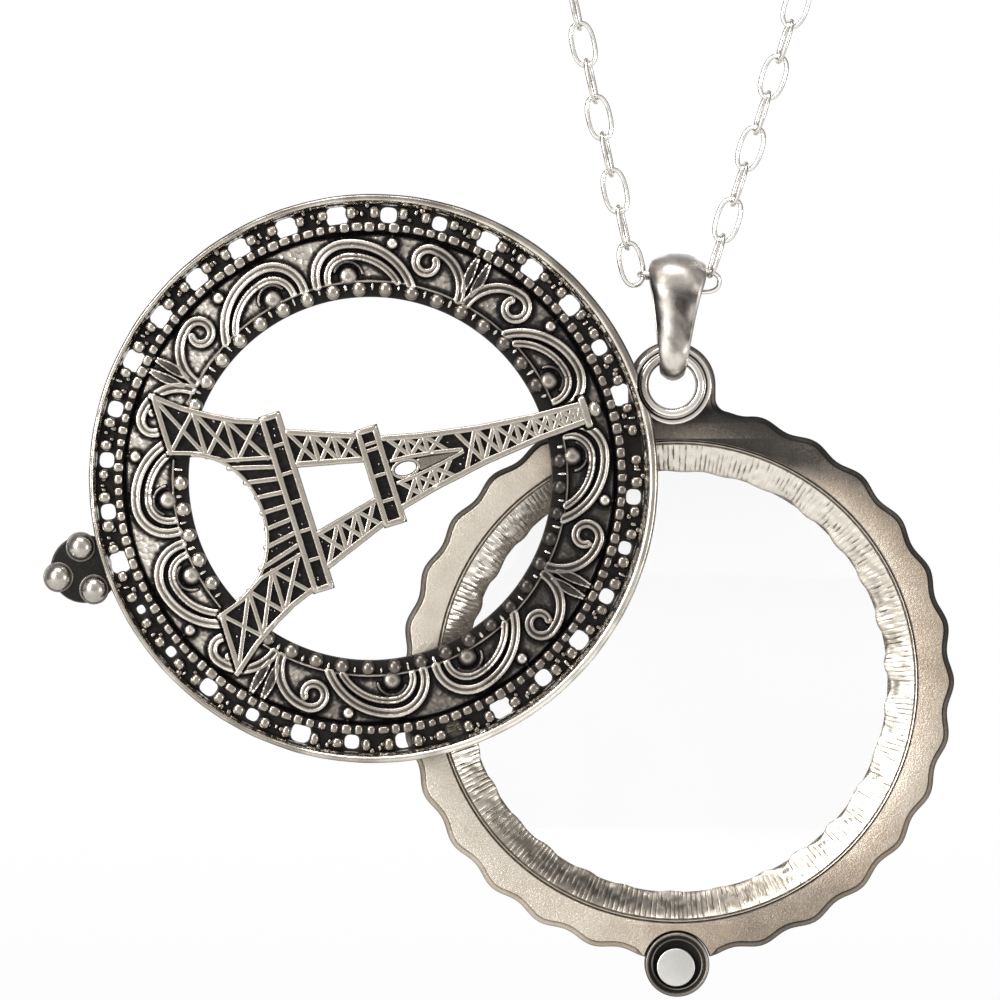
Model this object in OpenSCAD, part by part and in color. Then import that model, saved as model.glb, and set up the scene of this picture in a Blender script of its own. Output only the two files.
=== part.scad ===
// Swivel magnifier pendant on a long cable chain, in millimetres, +Z up.
// The origin is where the chain rests on the nape of the neck.
// The front looks along +Y, so the wearer's chest is behind the pendant.
// Pendant pieces are drawn face up, with the swivel pin on their z axis,
// and on_pendant() stands them up at the end of the chain.

/* [Cover] */
// Outer radius of the pierced cover
cover_r = 25; // [24.5:0.1:25.2]
// Distance from the swivel pin to the middle of the cover
cover_reach = 27.5; // [27.4:0.05:27.8]
// Radius of the opening in the cover
opening_r = 15.8; // [15.6:0.1:15.9]
// Height of the rim above the back of the cover
rim_h = 2.1; // [1.9:0.1:2.4]
// Angle between the open cover and straight down
cover_open = 72.6; // [70:0.2:74]

/* [Lens frame] */
// Mean outer radius of the lens frame
frame_r = 24.17; // [24:0.05:24.3]
// Distance from the swivel pin to the middle of the lens
frame_reach = 26.1; // [26.0:0.05:26.4]
// Sideways offset of the lens and cup from below the pin
frame_side = 0.45; // [0:0.05:0.6]
// Depth of the lens frame from face to back
frame_h = 3.4; // [3.2:0.1:3.8]
// Scallops around the edge of the lens frame
scallop_count = 30; // [24:1:36]
// Height of a scallop above or below the mean edge
scallop_h = 0.24; // [0.1:0.02:0.3]
// Distance from the swivel pin to the magnet cup
cup_reach = 51; // [50.9:0.05:51.3]

/* [Lens] */
// Radius of the magnifying lens
lens_r = 19.3; // [19.2:0.05:19.35]
// Height of each curved face of the lens above its edge
lens_sag = 1; // [0.8:0.05:1.1]

/* [Swivel] */
// Inner radius of the hollow rivet
eyelet_r = 2.07; // [2.0:0.01:2.1]
// Thickness of each of the two lugs
lug_h = 0.9; // [0.8:0.05:0.95]
// Gap between the cover and the lens frame
lug_gap = 0.25; // [0.25:0.05:0.35]

/* [Bail] */
// Height of the bail
bail_h = 11.2; // [11.1:0.05:11.3]
// Width of the bail across its top
bail_top_w = 5.2; // [5:0.05:5.2]
// Width of the bail across its bottom
bail_low_w = 2.2; // [2:0.05:2.2]

/* [Chain] */
// Outer length of a link
link_l = 4.2; // [4.2:0.02:4.24]
// Outer width of a link
link_w = 2.4; // [2.4:0.01:2.42]
// Thickness of the link wire
wire = 0.4; // [0.38:0.01:0.4]
// Distance from one link to the next
pitch = 3.3; // [3.28:0.01:3.3]
// Links from one side of the bail round the neck to the other side
loop_links = 228; // [224:4:232]
// Angle of each side of the chain from the middle of the loop
half_angle = 15; // [14.5:0.1:15.5]
// Lean of the loop to the wearer's left
loop_lean = 2.7; // [2:0.1:3]
// Height on the chest at which the chain starts to lean back
chest_h = 100; // [90:1:120]
// Radius of the chain's bend over the collarbones
shoulder_r = 70; // [60:1:80]
// Lean of the chain around the neck, from upright
neck_tilt = 70; // [60:1:75]

/* [Hidden] */
round_n = 96;
small_n = 32;
wire_n = 48;
// How far a cutting shape reaches past what it cuts
over = 1;

silver = [0.72, 0.70, 0.66];
dark_silver = [0.55, 0.53, 0.50];
pale_silver = [0.80, 0.78, 0.73];

// Levels of the pendant, along z when it lies face up
cover_back = lug_gap/2;
cover_lug_top = cover_back + lug_h;
frame_face = -lug_gap/2;
frame_lug_back = frame_face - lug_h;
frame_back = frame_face - frame_h;

// Swivel pin: a hollow rivet with a rolled flange at each end
barrel_r = 2.45;
flange_r = 2.85;
flange_h = 0.42;
flange_corner = 0.12;
flare_start = 0.35;
flare_w = 0.5;
flange_run = 0.15;
pin_run = 0.05;
pin_seat = 0.03;
fit_gap = 0.05;
frame_lug_r = 3.85;
cover_lug_r = 3.5;

// Bail: level of its foot, lean, and the round ends of its side view, outer
// and inner, as radius and distance from the foot or the top
bail_low = 0.4;
bail_lean = 3;
foot_r = 2.85;
foot_in_r = 2.1;
foot_in_y = 3.15;
crown_r = 3.35;
crown_in_r = 2.6;
crown_in_y = 3.45;

// Two points on the middle plane of the bail, from the swivel pin, where the
// chain's last link on the left and the last link inside the bail are pulled
left_pull = [-3.4, 9.75];
right_pull = [3.168, 9.098];

// Chain shape: half the gap between a link's round ends, and their radius
end_r = (link_w - wire)/2;
end_off = (link_l - link_w)/2;
seat = 0.5;
long_pull = 2*(pitch - end_off);
left_angle = half_angle - loop_lean;
right_angle = half_angle + loop_lean;

// The loop lies in a sheet of x and height s, which then bends over the chest
function heading(a) = [sin(a), cos(a)];
function cross2(p, q) = p[0]*q[1] - p[1]*q[0];
left_up = heading(-left_angle);
right_up = heading(right_angle);
left_drop = cross2(right_pull - left_pull, right_up)/cross2(left_up, right_up);
right_drop = cross2(left_pull - right_pull, left_up)/cross2(right_up, left_up);
apex = left_pull + left_drop*left_up;
path_l = loop_links*pitch;
left_a = -left_drop;
right_a = -right_drop;
turn = 180 + 2*half_angle;
ring_r = (path_l + left_a + right_a)/(2/tan(half_angle) + turn*PI/180);
side_l = ring_r/tan(half_angle);
ring_mid = apex + ring_r/sin(half_angle)*heading(loop_lean);
left_l = side_l - left_a;
ring_l = ring_r*turn*PI/180;

// Place and heading at a distance t along the chain from its left end
function ring_turn(t) = (t - left_l)/ring_r*180/PI;
function path_at(t) =
    t < left_l ? left_pull + t*left_up
    : t < left_l + ring_l ? ring_mid - ring_r*heading(90 - left_angle + ring_turn(t))
    : right_pull + (path_l - t)*right_up;
function path_heading(t) =
    t < left_l ? -left_angle
    : t < left_l + ring_l ? ring_turn(t) - left_angle
    : 180 + right_angle;

// The sheet goes straight up the chest, bends back, and runs on to the nape
bend_end = chest_h + shoulder_r*neck_tilt*PI/180;
function lean_at(s) =
    s < chest_h ? 0 : s < bend_end ? (s - chest_h)/shoulder_r*180/PI : neck_tilt;
function sheet(x, s) =
    let (a = lean_at(s), past = max(0, s - bend_end))
    [x,
     shoulder_r*(1 - cos(a)) + past*sin(a),
     min(s, chest_h) + shoulder_r*sin(a) + past*cos(a)];

function link_t(i) = end_off + pitch*i;
clasp_link = loop_links/2;
nape_sheet = path_at(link_t(clasp_link));
nape = sheet(nape_sheet[0], nape_sheet[1]);

// Cover relief, in millimetres and degrees from the middle of the cover
channel_out = cover_r - 0.7;
channel_in = 22.5;
hole_ring = 23.25;
hole_turn = 1.1;
filled_hole = 31;
bead_off = 3.2;
flank_r = 0.38;
flank_z = 0.1;
bead_count = 45;
bead_ring = 16.7;
bead_r = 0.66;
bead_sink = 0.15;
ground = 1.05;
ridge_r = 17.35;
ridge_w = 0.15;
ridge_h = 0.4;
seat_drop = 0.3;
granule_w = 0.75;
granule_h = 0.45;
groove_w = 0.25;
groove_h = 0.15;
// Radius of each hole in turn, from the pin's side anticlockwise
hole_r = [
    0.90, 0.64, 0.84, 0.88, 0.90, 0.62, 0.70, 0.90,
    0.90, 0.88, 0.88, 0.90, 0.90, 0.67, 0.65, 0.66,
    0.90, 0.36, 0.43, 0.71, 0.53, 0.82, 0.62, 0.68,
    0.60, 0.90, 0.68, 0.78, 0.62, 0.55, 0.65, 0.50];
hole_count = len(hole_r);
hole_step = 360/hole_count;

// Arches: crest angle and radius, short foot angle and radius, long foot
// angle and radius, width
arches = [
    [10.9, 20.85, 2.2, 17.75, 29.4, 17.6, 0.76],
    [11.2, 19.75, 5.6, 17.8, 25.4, 17.7, 0.56]];
// Scroll: crest angle and radius, foot angle and radius, width
scroll_row = [32.6, 20.8, 43.2, 17.8, 0.6];
scroll_r = 1.3;
scroll_end_r = 0.95;
scroll_sweep = 235;
relief_h = 0.42;
ball_at = [11.5, 17.85];
ball_r = 0.85;
ball_z = -0.1;
stud_at = [22.9, 20.75];
stud_r = 0.5;
stud_z = 0.1;

// Lattice tower, in millimetres from the middle of the cover, up to the pin
web_top = 0.95;
bar_top = 1.6;
bar_w = 0.36;
brace_w = 0.26;
shaft_x = [[0, 3.45], [1.6, 3.45], [5, 2.65], [10, 1.78], [15, 1.25], [19.4, 1.05]];
shaft_high = 19.4;
shaft_cells = 7;
arch_low = 8;
upper_deck = [4.5, -0.4, 1.7];
lower_deck = [8.15, -8.1, -6.1];
foot_y = -16.6;
leg_x = [[-16.6, 13.1], [-14.2, 11.15], [-12, 9.75], [-10, 8.7], [-8.1, 8.0]];
toe_x = 7.3;
arch_a = 6.7;
arch_b = 5.5;
arch_y = -15.8;
mid_out = [[4.3, -0.4], [6.45, -6.1]];
mid_in = [[1.6, -0.4], [2.9, -6.1]];
mid_cells = 3;
leg_cells = 3;
cap_x = 1.4;
cap_y = 19.9;
cap_w = 0.6;
knob_r = 0.75;
knob_z = 1.15;
knob_rise = 0.35;
slot_r = 0.62;
slot_y = [2.6, 3.2];
upper_posts = [-4.32, -2.8, -0.1, 2.5, 4.32];
lower_posts = [-7.97, -5.3, -2.7, 0, 2.7, 5.3, 7.97];
gate_foot = [1.9, 1.6];
leg_top_in = 4.6;
toe_bar_x = 13;
rail_near = [[1.35, -8.1], [1.35, -10.3]];
rail_far = [[2.7, -8.1], [2.9, -10.7]];
rail_mid_low = -10.1;

// Tab with three balls, along the line from the pin through the cover's middle
tab_r = 3;
tab_at = 26.6;
tab_top = 1.35;
tab_ball_r = 1.2;
tab_ball_z = 1.25;
tab_balls = [[0, 29], [-1.95, 26.35], [1.95, 26.35]];
keeper_r = 1.1;
keeper_at = 25.3;
keeper_h = 0.75;

// Lens frame section
step_r = 20.9;
step_w = 0.35;
step_drop = 0.25;
line_w = 0.25;
line_drop = 0.1;
lip_h = 0.15;
lip_r = 18.55;
lens_edge = 1.2;
lens_mid = frame_face - 2.15;
lug_clear = 0.2;
lens_play = 0.15;
cup_r = 2.85;
recess_r = 2.1;
recess_h = 1.1;
magnet_r = 1.7;
magnet_h = 0.7;
magnet_shift = [-0.1, -0.28];

// Stands a flat piece up on the end of the chain, its face to the front
module on_pendant() {
    translate(-nape) rotate([90, 0, 0]) children();
}

// Turns a cover piece, drawn hanging straight down, to the open position
module opened() {
    rotate(-cover_open) translate([0, -cover_reach, 0]) children();
}

module link_shape() {
    rotate([90, 0, 0]) {
        for (s = [0, 180])
            rotate(s) translate([0, end_off, 0])
                rotate_extrude(angle = 180, $fn = wire_n)
                    translate([end_r, 0]) circle(d = wire, $fn = wire_n);
        for (s = [-1, 1])
            translate([s*end_r, end_off, 0]) rotate([90, 0, 0])
                cylinder(d = wire, h = 2*end_off, $fn = wire_n);
    }
}

// Puts a piece drawn along z at a place of the sheet, with a heading in it
module on_sheet(p, angle) {
    translate(sheet(p[0], p[1]) - nape) rotate([-lean_at(p[1]), 0, 0])
        rotate([0, angle, 0]) children();
}

module chain_run(first, last) {
    for (i = [first : last])
        on_sheet(path_at(link_t(i)), path_heading(link_t(i)))
            rotate([0, 0, 90*(i % 2)]) link_shape();
}

// Two links pass through the bail, one lying across and one upright
module bail_links() {
    pull = right_pull - left_pull;
    across = atan2(pull[0], pull[1]);
    on_sheet(left_pull + long_pull/2*heading(across), across)
        rotate([0, 0, 90]) link_shape();
    on_sheet(right_pull - end_off*heading(across), across) link_shape();
}

module chain_left() {
    color(pale_silver) chain_run(0, clasp_link - 2);
}

module chain_right() {
    color(pale_silver) {
        chain_run(clasp_link + 2, loop_links - 1);
        bail_links();
    }
}

// A plain closed clasp with a ring at each end
module clasp() {
    ring_out = 2*pitch - end_off - seat - end_r;
    body_r = 1.6;
    body_l = 2*ring_out - 2*end_r;
    color(pale_silver) on_sheet(nape_sheet, path_heading(link_t(clasp_link))) {
        for (s = [-1, 1])
            translate([0, 0, s*ring_out]) rotate([0, 90, 0])
                rotate_extrude($fn = wire_n)
                    translate([end_r, 0]) circle(d = wire, $fn = wire_n);
        translate([0, 0, -body_l/2]) cylinder(r = body_r, h = body_l, $fn = wire_n);
    }
}

// Points of the straight sides that touch two circles on the same axis
function taper_side(low_y, low_r, high_y, high_r) =
    let (a = asin((high_r - low_r)/(high_y - low_y)))
    [[low_r*cos(a), low_y - low_r*sin(a)], [high_r*cos(a), high_y - high_r*sin(a)]];

module egg(low_y, low_r, high_y, high_r) {
    side = taper_side(low_y, low_r, high_y, high_r);
    translate([0, low_y]) circle(r = low_r, $fn = round_n);
    translate([0, high_y]) circle(r = high_r, $fn = round_n);
    polygon([side[0], side[1], [-side[1][0], side[1][1]], [-side[0][0], side[0][1]]]);
}

// Tapered loop: an egg from the side, a long wedge from the front
module bail() {
    top = bail_low + bail_h;
    widest = bail_top_w/2;
    narrow = bail_low_w/2;
    side = [
        [narrow - 0.25, bail_low - 0.1], [narrow, bail_low + 0.6],
        [narrow + 0.33, bail_low + 3.2], [narrow + 0.85, bail_low + 7],
        [widest, top - 0.9], [widest - 0.5, top + 0.1]];
    color(silver) on_pendant()
        translate([0, bail_low, 0]) rotate(-bail_lean) translate([0, -bail_low, 0])
            intersection() {
                rotate([0, -90, 0]) linear_extrude(height = 2*bail_top_w, center = true)
                    difference() {
                        egg(bail_low + foot_r, foot_r, top - crown_r, crown_r);
                        egg(bail_low + foot_in_y, foot_in_r, top - crown_in_y, crown_in_r);
                    }
                linear_extrude(height = 4*bail_top_w, center = true)
                    polygon(concat(side, [for (p = reverse(side)) [-p[0], p[1]]]));
            }
}

// Edge of the lens frame, with its scallops
function scallop(a) =
    (frame_r + scallop_h*cos(scallop_count*a))*[cos(a), sin(a)];

module frame_edge() {
    steps = 8*scallop_count;
    polygon([for (i = [0 : steps - 1]) scallop(360*i/steps)]);
}

// Section of the hollow in the lens frame: step, sloped wall, lens groove, back
module frame_hollow() {
    groove_r = lens_r + fit_gap;
    groove_top = lens_mid + lens_edge/2 + lens_play;
    groove_low = lens_mid - lens_edge/2 - lens_play;
    rotate_extrude($fn = 2*round_n)
        polygon([
            [0, frame_face + over], [step_r + step_w, frame_face + over],
            [step_r + step_w, frame_face - step_drop], [step_r, frame_face - step_drop],
            [step_r, frame_face - line_drop], [step_r - line_w, frame_face - line_drop],
            [lip_r, groove_top + lip_h], [lip_r, groove_top],
            [groove_r, groove_top], [groove_r, groove_low],
            [lip_r, groove_low], [lip_r, frame_back - over], [0, frame_back - over]]);
}

module lens_frame() {
    color(pale_silver) on_pendant() difference() {
        union() {
            translate([frame_side, -frame_reach, frame_back])
                linear_extrude(height = frame_h) frame_edge();
            translate([frame_side, -cup_reach, frame_back])
                cylinder(r = cup_r, h = frame_h, $fn = round_n);
            translate([0, 0, frame_lug_back]) cylinder(r = frame_lug_r, h = lug_h, $fn = round_n);
        }
        translate([frame_side, -frame_reach, 0]) frame_hollow();
        translate([frame_side, -cup_reach, frame_face - recess_h])
            cylinder(r = recess_r, h = recess_h + over, $fn = round_n);
        translate([0, 0, frame_lug_back - over])
            cylinder(r = barrel_r + pin_seat, h = lug_h + 2*over, $fn = round_n);
        translate([0, 0, frame_back - over])
            cylinder(r = flange_r + lug_clear, h = frame_lug_back - frame_back + over,
                     $fn = round_n);
    }
}

// Glass magnifier with two equal curved faces
module lens() {
    ball_r = (lens_r*lens_r + lens_sag*lens_sag)/(2*lens_sag);
    off = ball_r - lens_sag - lens_edge/2;
    color([0.9, 0.95, 1, 0.35]) on_pendant() translate([frame_side, -frame_reach, lens_mid])
        rotate_extrude($fn = 2*round_n) intersection() {
            translate([0, -lens_r]) square([lens_r, 2*lens_r]);
            translate([0, -off]) circle(r = ball_r, $fn = 1440);
            translate([0, off]) circle(r = ball_r, $fn = 1440);
        }
}

module magnet() {
    color(dark_silver) on_pendant()
        translate([frame_side, -cup_reach, frame_face - recess_h + fit_gap])
            translate(magnet_shift) cylinder(r = magnet_r, h = magnet_h, $fn = round_n);
}

// Hollow rivet with flared ends, fast in the lens frame
module rivet() {
    seat = cover_lug_top + pin_run;
    half = [
        [eyelet_r, seat - flare_start], [eyelet_r + flange_corner, seat - pin_run],
        [eyelet_r + flare_w, seat + flange_h], [flange_r - flange_corner, seat + flange_h],
        [flange_r, seat + flange_h - flange_corner], [flange_r, seat], [barrel_r, seat]];
    color(silver) on_pendant() rotate_extrude($fn = round_n)
        polygon(concat(half, [for (p = reverse(half)) [p[0], -p[1]]]));
}

// Section of the cast cover: rim, pierced channel, ridges, ground and bead seat
module cover_section() {
    rim_w = (cover_r - channel_out)/2;
    granule_in = channel_in - granule_w;
    rotate_extrude($fn = 2*round_n) {
        polygon([
            [opening_r, 0], [cover_r, 0], [cover_r, rim_h - rim_w],
            [channel_out, rim_h - rim_w], [channel_out, ground],
            [channel_in, ground], [channel_in, ground + granule_h],
            [granule_in, ground + granule_h], [granule_in, ground - groove_h],
            [granule_in - groove_w, ground - groove_h], [granule_in - groove_w, ground],
            [ridge_r + ridge_w, ground], [ridge_r + ridge_w, ground + ridge_h],
            [ridge_r - ridge_w, ground + ridge_h], [ridge_r - ridge_w, ground - seat_drop],
            [opening_r, ground - seat_drop]]);
        translate([cover_r - rim_w, rim_h - rim_w]) circle(r = rim_w, $fn = small_n);
    }
}

function mix(p, q, t) = p + t*(q - p);
function unit(angle) = [cos(angle), sin(angle)];
function at(angle, r) = r*unit(angle);

// Angle and radius of the arc that leaves a crest level and ends at a foot
function arc_mid(crest_a, crest_r, foot) =
    (crest_r*crest_r - foot*foot)/(2*(crest_r - foot*unit(crest_a)));
function short_turn(a) = a < -180 ? a + 360 : a > 180 ? a - 360 : a;
function crest_arc(crest_a, crest_r, foot, steps) =
    let (mid_r = arc_mid(crest_a, crest_r, foot), mid = at(crest_a, mid_r),
         d = foot - mid, sweep = short_turn(atan2(d[1], d[0]) - crest_a))
    [for (i = [1 : steps]) mid + (crest_r - mid_r)*unit(crest_a + sweep*i/steps)];
function reverse(list) = [for (i = [len(list) - 1 : -1 : 0]) list[i]];

// Outline of a band of one width along a path
function side_of(path, i, w) =
    let (d = path[min(i + 1, len(path) - 1)] - path[max(i - 1, 0)])
    path[i] + w/2*[-d[1], d[0]]/norm(d);
function band(path, w) = concat(
    [for (i = [0 : len(path) - 1]) side_of(path, i, w)],
    [for (i = [len(path) - 1 : -1 : 0]) side_of(path, i, -w)]);

// A raised arch from its short foot over the crest to its long foot
module arch_band(row) {
    steps = 7;
    short = crest_arc(row[0], row[1], at(row[2], row[3]), steps);
    long = crest_arc(row[0], row[1], at(row[4], row[5]), steps);
    linear_extrude(height = ground + relief_h)
        polygon(band(concat(reverse(short), [at(row[0], row[1])], long), row[6]));
}

// A raised scroll, curled in at its crest end
module scroll() {
    steps = 12;
    crest_a = scroll_row[0];
    foot = at(scroll_row[2], scroll_row[3]);
    mid = at(crest_a, scroll_row[1] - scroll_r);
    curl = [for (i = [1 : steps])
        mid + mix(scroll_r, scroll_end_r, i/steps)*unit(crest_a - scroll_sweep*i/steps)];
    path = concat(reverse(crest_arc(crest_a, scroll_row[1], foot, 6)),
                  [at(crest_a, scroll_row[1])], curl);
    linear_extrude(height = ground + relief_h) polygon(band(path, scroll_row[4]));
}

module dome(angle, r, ball, z) {
    p = at(angle, r);
    translate([p[0], p[1], z]) sphere(r = ball, $fn = small_n);
}

// Arches, scroll and studs of half a quarter of the cover
module half_quarter() {
    for (row = arches) arch_band(row);
    scroll();
    dome(ball_at[0], ball_at[1], ball_r, ground + ball_z);
    dome(stud_at[0], stud_at[1], stud_r, ground + stud_z);
}

module cover_relief() {
    for (q = [0 : 3]) rotate(90*q) {
        half_quarter();
        mirror([0, 1, 0]) half_quarter();
    }
    for (i = [0 : bead_count - 1])
        dome((i + 0.5)*360/bead_count, bead_ring, bead_r, ground - bead_sink);
    for (i = [0 : hole_count - 1]) for (s = [-1, 1])
        dome(hole_step*i + hole_turn + s*bead_off, hole_ring, flank_r, ground + flank_z);
}

module bar(p, q, w) {
    d = q - p;
    translate(p) rotate(atan2(d[1], d[0])) translate([-w/3, -w/2]) square([norm(d) + 2*w/3, w]);
}

module both_sides() {
    children();
    mirror([1, 0, 0]) children();
}

// Crossed braces and rungs between two edges
module braces(a0, a1, b0, b1, cells) {
    for (i = [0 : cells - 1]) {
        la = mix(a0, a1, i/cells);
        ha = mix(a0, a1, (i + 1)/cells);
        lb = mix(b0, b1, i/cells);
        hb = mix(b0, b1, (i + 1)/cells);
        bar(la, hb, brace_w);
        bar(lb, ha, brace_w);
        bar(ha, hb, brace_w);
    }
}

function shaft_edge(y) = [lookup(y, shaft_x), y];
function leg_edge(y) = [lookup(y, leg_x), y];
function arch_point(a, grow) =
    [(arch_a + grow)*cos(a), arch_y + (arch_b + grow)*sin(a)];

module tower_web() {
    shaft = [for (row = shaft_x) [row[1], row[0]]];
    legs = [for (row = leg_x) [row[1], row[0]]];
    arch_steps = 24;
    both_sides() polygon(concat([[0, 0], [0, shaft_high]],
        [for (i = [len(shaft) - 1 : -1 : 0]) shaft[i]]));
    translate([-upper_deck[0], upper_deck[1]])
        square([2*upper_deck[0], upper_deck[2] - upper_deck[1]]);
    translate([-lower_deck[0], lower_deck[1]])
        square([2*lower_deck[0], lower_deck[2] - lower_deck[1]]);
    both_sides() polygon([mid_out[0], mid_out[1], mid_in[1], mid_in[0]]);
    both_sides() polygon(concat(
        [[toe_x, foot_y]], legs, [[0, lower_deck[1]]],
        [for (i = [arch_steps : -1 : 0]) arch_point(i*90/arch_steps, 0)]));
}

module arch_ring() {
    steps = 24;
    low = 6;
    near = 0.01;
    far = 0.34;
    polygon(concat(
        [for (i = [0 : steps]) arch_point(low + (180 - 2*low)*i/steps, far)],
        [for (i = [steps : -1 : 0]) arch_point(low + (180 - 2*low)*i/steps, near)]));
}

module deck_bars(deck, posts) {
    for (y = [deck[1] + bar_w/2, deck[2] - bar_w/2])
        bar([-deck[0] + bar_w, y], [deck[0] - bar_w, y], bar_w);
    for (x = posts) bar([x, deck[1] + bar_w], [x, deck[2] - bar_w], brace_w);
}

module tower_bars() {
    inset = bar_w/2;
    deck_bars(upper_deck, upper_posts);
    deck_bars(lower_deck, lower_posts);
    bar([-cap_x, cap_y - cap_w/2], [cap_x, cap_y - cap_w/2], cap_w);
    both_sides() for (i = [1 : len(shaft_x) - 2])
        bar([shaft_x[i][1] - inset, shaft_x[i][0]],
            [shaft_x[i + 1][1] - inset, shaft_x[i + 1][0]], bar_w);
    both_sides() bar(gate_foot, [0, arch_low], bar_w);
    for (i = [0 : shaft_cells - 1]) {
        y0 = mix(arch_low, shaft_high, i/shaft_cells);
        y1 = mix(arch_low, shaft_high, (i + 1)/shaft_cells);
        e0 = shaft_edge(y0) - [inset, 0];
        e1 = shaft_edge(y1) - [inset, 0];
        bar([-e0[0], y0], e1, brace_w);
        bar(e0, [-e1[0], y1], brace_w);
        bar([-e0[0], y0], e0, brace_w);
    }
    both_sides() {
        bar(mid_out[0] - [inset, 0], mid_out[1] - [inset, 0], bar_w);
        bar(mid_in[0] + [inset, 0], mid_in[1] + [inset, 0], bar_w);
        braces(mid_in[0], mid_in[1], mid_out[0], mid_out[1], mid_cells);
        for (i = [0 : len(leg_x) - 2])
            bar([leg_x[i][1] - inset, leg_x[i][0]],
                [leg_x[i + 1][1] - inset, leg_x[i + 1][0]], bar_w);
        braces([toe_x + bar_w, foot_y], [leg_top_in, lower_deck[1]],
               leg_edge(foot_y), leg_edge(lower_deck[1]), leg_cells);
        bar([toe_x, foot_y + inset], [toe_bar_x, foot_y + inset], bar_w);
        bar(rail_near[0], rail_near[1], brace_w);
        bar(rail_far[0], rail_far[1], brace_w);
    }
    bar([0, lower_deck[1]], [0, rail_mid_low], brace_w);
    arch_ring();
}

// Open-work tower cast across the opening, its bars raised over a thin web
module tower() {
    linear_extrude(height = web_top) difference() {
        tower_web();
        for (y = slot_y) translate([0, y]) circle(r = slot_r, $fn = small_n);
    }
    linear_extrude(height = bar_top) tower_bars();
    translate([0, cap_y + knob_rise, knob_z]) sphere(r = knob_r, $fn = small_n);
}

module tab() {
    translate([0, -tab_at, 0]) cylinder(r = tab_r, h = tab_top, $fn = round_n);
    for (b = tab_balls)
        translate([b[0], -b[1], tab_ball_z]) sphere(r = tab_ball_r, $fn = wire_n);
}

module cover() {
    color(silver) on_pendant() opened() translate([0, 0, cover_back]) difference() {
        union() {
            cover_section();
            rotate(90) cover_relief();
            tower();
            tab();
        }
        for (i = [0 : hole_count - 1]) if (i != filled_hole)
            rotate(90 + hole_step*i + hole_turn) translate([hole_ring, 0, -over])
                cylinder(r = hole_r[i], h = rim_h + 2*over, $fn = wire_n);
        translate([0, cover_reach, lug_h])
            cylinder(r = flange_r + flange_run, h = rim_h, $fn = round_n);
        translate([0, -keeper_at, -over])
            cylinder(r = keeper_r + fit_gap, h = keeper_h + 2*fit_gap + over, $fn = round_n);
    }
}

// Ring on the edge of the cover that turns around the rivet, closed by the rim
module cover_lug() {
    color(silver) on_pendant() opened() translate([0, 0, cover_back]) difference() {
        translate([0, cover_reach, 0]) cylinder(r = cover_lug_r, h = lug_h, $fn = round_n);
        translate([0, cover_reach, -over])
            cylinder(r = barrel_r + pin_run, h = lug_h + 2*over, $fn = round_n);
        translate([0, 0, -over])
            cylinder(r = cover_r + fit_gap, h = lug_h + 2*over, $fn = 2*round_n);
    }
}

// Small disc let into the back of the tab, held by the magnet when closed
module keeper() {
    color(dark_silver) on_pendant() opened()
        translate([0, -keeper_at, cover_back + fit_gap])
            cylinder(r = keeper_r, h = keeper_h, $fn = round_n);
}

chain_left();
chain_right();
clasp();
bail();
lens_frame();
lens();
magnet();
rivet();
cover();
cover_lug();
keeper();
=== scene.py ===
import math

import bpy
import numpy as np
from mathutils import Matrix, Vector
from mathutils.geometry import tessellate_polygon


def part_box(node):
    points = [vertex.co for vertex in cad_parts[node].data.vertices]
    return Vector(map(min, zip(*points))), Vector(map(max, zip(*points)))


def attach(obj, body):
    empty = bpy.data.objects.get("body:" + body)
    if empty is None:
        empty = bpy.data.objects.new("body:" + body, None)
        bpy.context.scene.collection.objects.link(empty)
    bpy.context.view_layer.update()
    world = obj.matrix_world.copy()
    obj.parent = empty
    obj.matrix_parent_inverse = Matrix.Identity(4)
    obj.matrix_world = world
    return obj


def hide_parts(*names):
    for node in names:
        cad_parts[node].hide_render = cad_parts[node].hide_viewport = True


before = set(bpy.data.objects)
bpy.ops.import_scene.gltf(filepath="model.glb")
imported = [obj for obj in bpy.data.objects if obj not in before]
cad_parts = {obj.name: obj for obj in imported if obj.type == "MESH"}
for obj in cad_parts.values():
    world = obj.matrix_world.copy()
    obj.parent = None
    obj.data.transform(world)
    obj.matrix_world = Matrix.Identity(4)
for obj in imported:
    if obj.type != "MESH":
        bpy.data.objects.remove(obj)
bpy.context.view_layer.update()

# The view. The pendant hangs at the end of its chain and is seen straight from the front,
# from far enough off that its two discs keep their true outlines. The swivel pin is the
# place that everything on the pendant is measured from.
MM = 0.001
photo_px = 1000
px_per_mm = 11.366
pin_px = (672, 385)
camera_off = 0.9
sensor_mm = 36

rivet_low, rivet_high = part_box("rivet")
pin = (np.array(rivet_low) + np.array(rivet_high))/2
view_w = photo_px/px_per_mm*MM
middle_px = photo_px/2
aim = pin + MM/px_per_mm*np.array([middle_px - pin_px[0], 0, pin_px[1] - middle_px])

camera_data = bpy.data.cameras.new("view")
camera_data.sensor_width = sensor_mm
camera_data.lens = sensor_mm*camera_off/view_w
camera_data.clip_start = 0.02
camera = bpy.data.objects.new("view", camera_data)
camera.location = aim - np.array([0, camera_off, 0])
camera.rotation_euler = (math.radians(90), 0, 0)
bpy.context.scene.collection.objects.link(camera)
bpy.context.scene.camera = camera
bpy.context.scene.view_settings.view_transform = "Standard"


# Studio. A pale matt floor lies below the hanging pendant, a white room stands around it,
# and large soft lamps give the metal its bright edges.
def add_node(tree, kind, inputs=None, **settings):
    """A shader node with its settings, and its inputs set or linked."""
    made = tree.nodes.new(kind)
    for key, value in settings.items():
        setattr(made, key, value)
    for key, value in (inputs or {}).items():
        if isinstance(value, bpy.types.NodeSocket):
            tree.links.new(value, made.inputs[key])
        else:
            made.inputs[key].default_value = value
    return made


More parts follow.
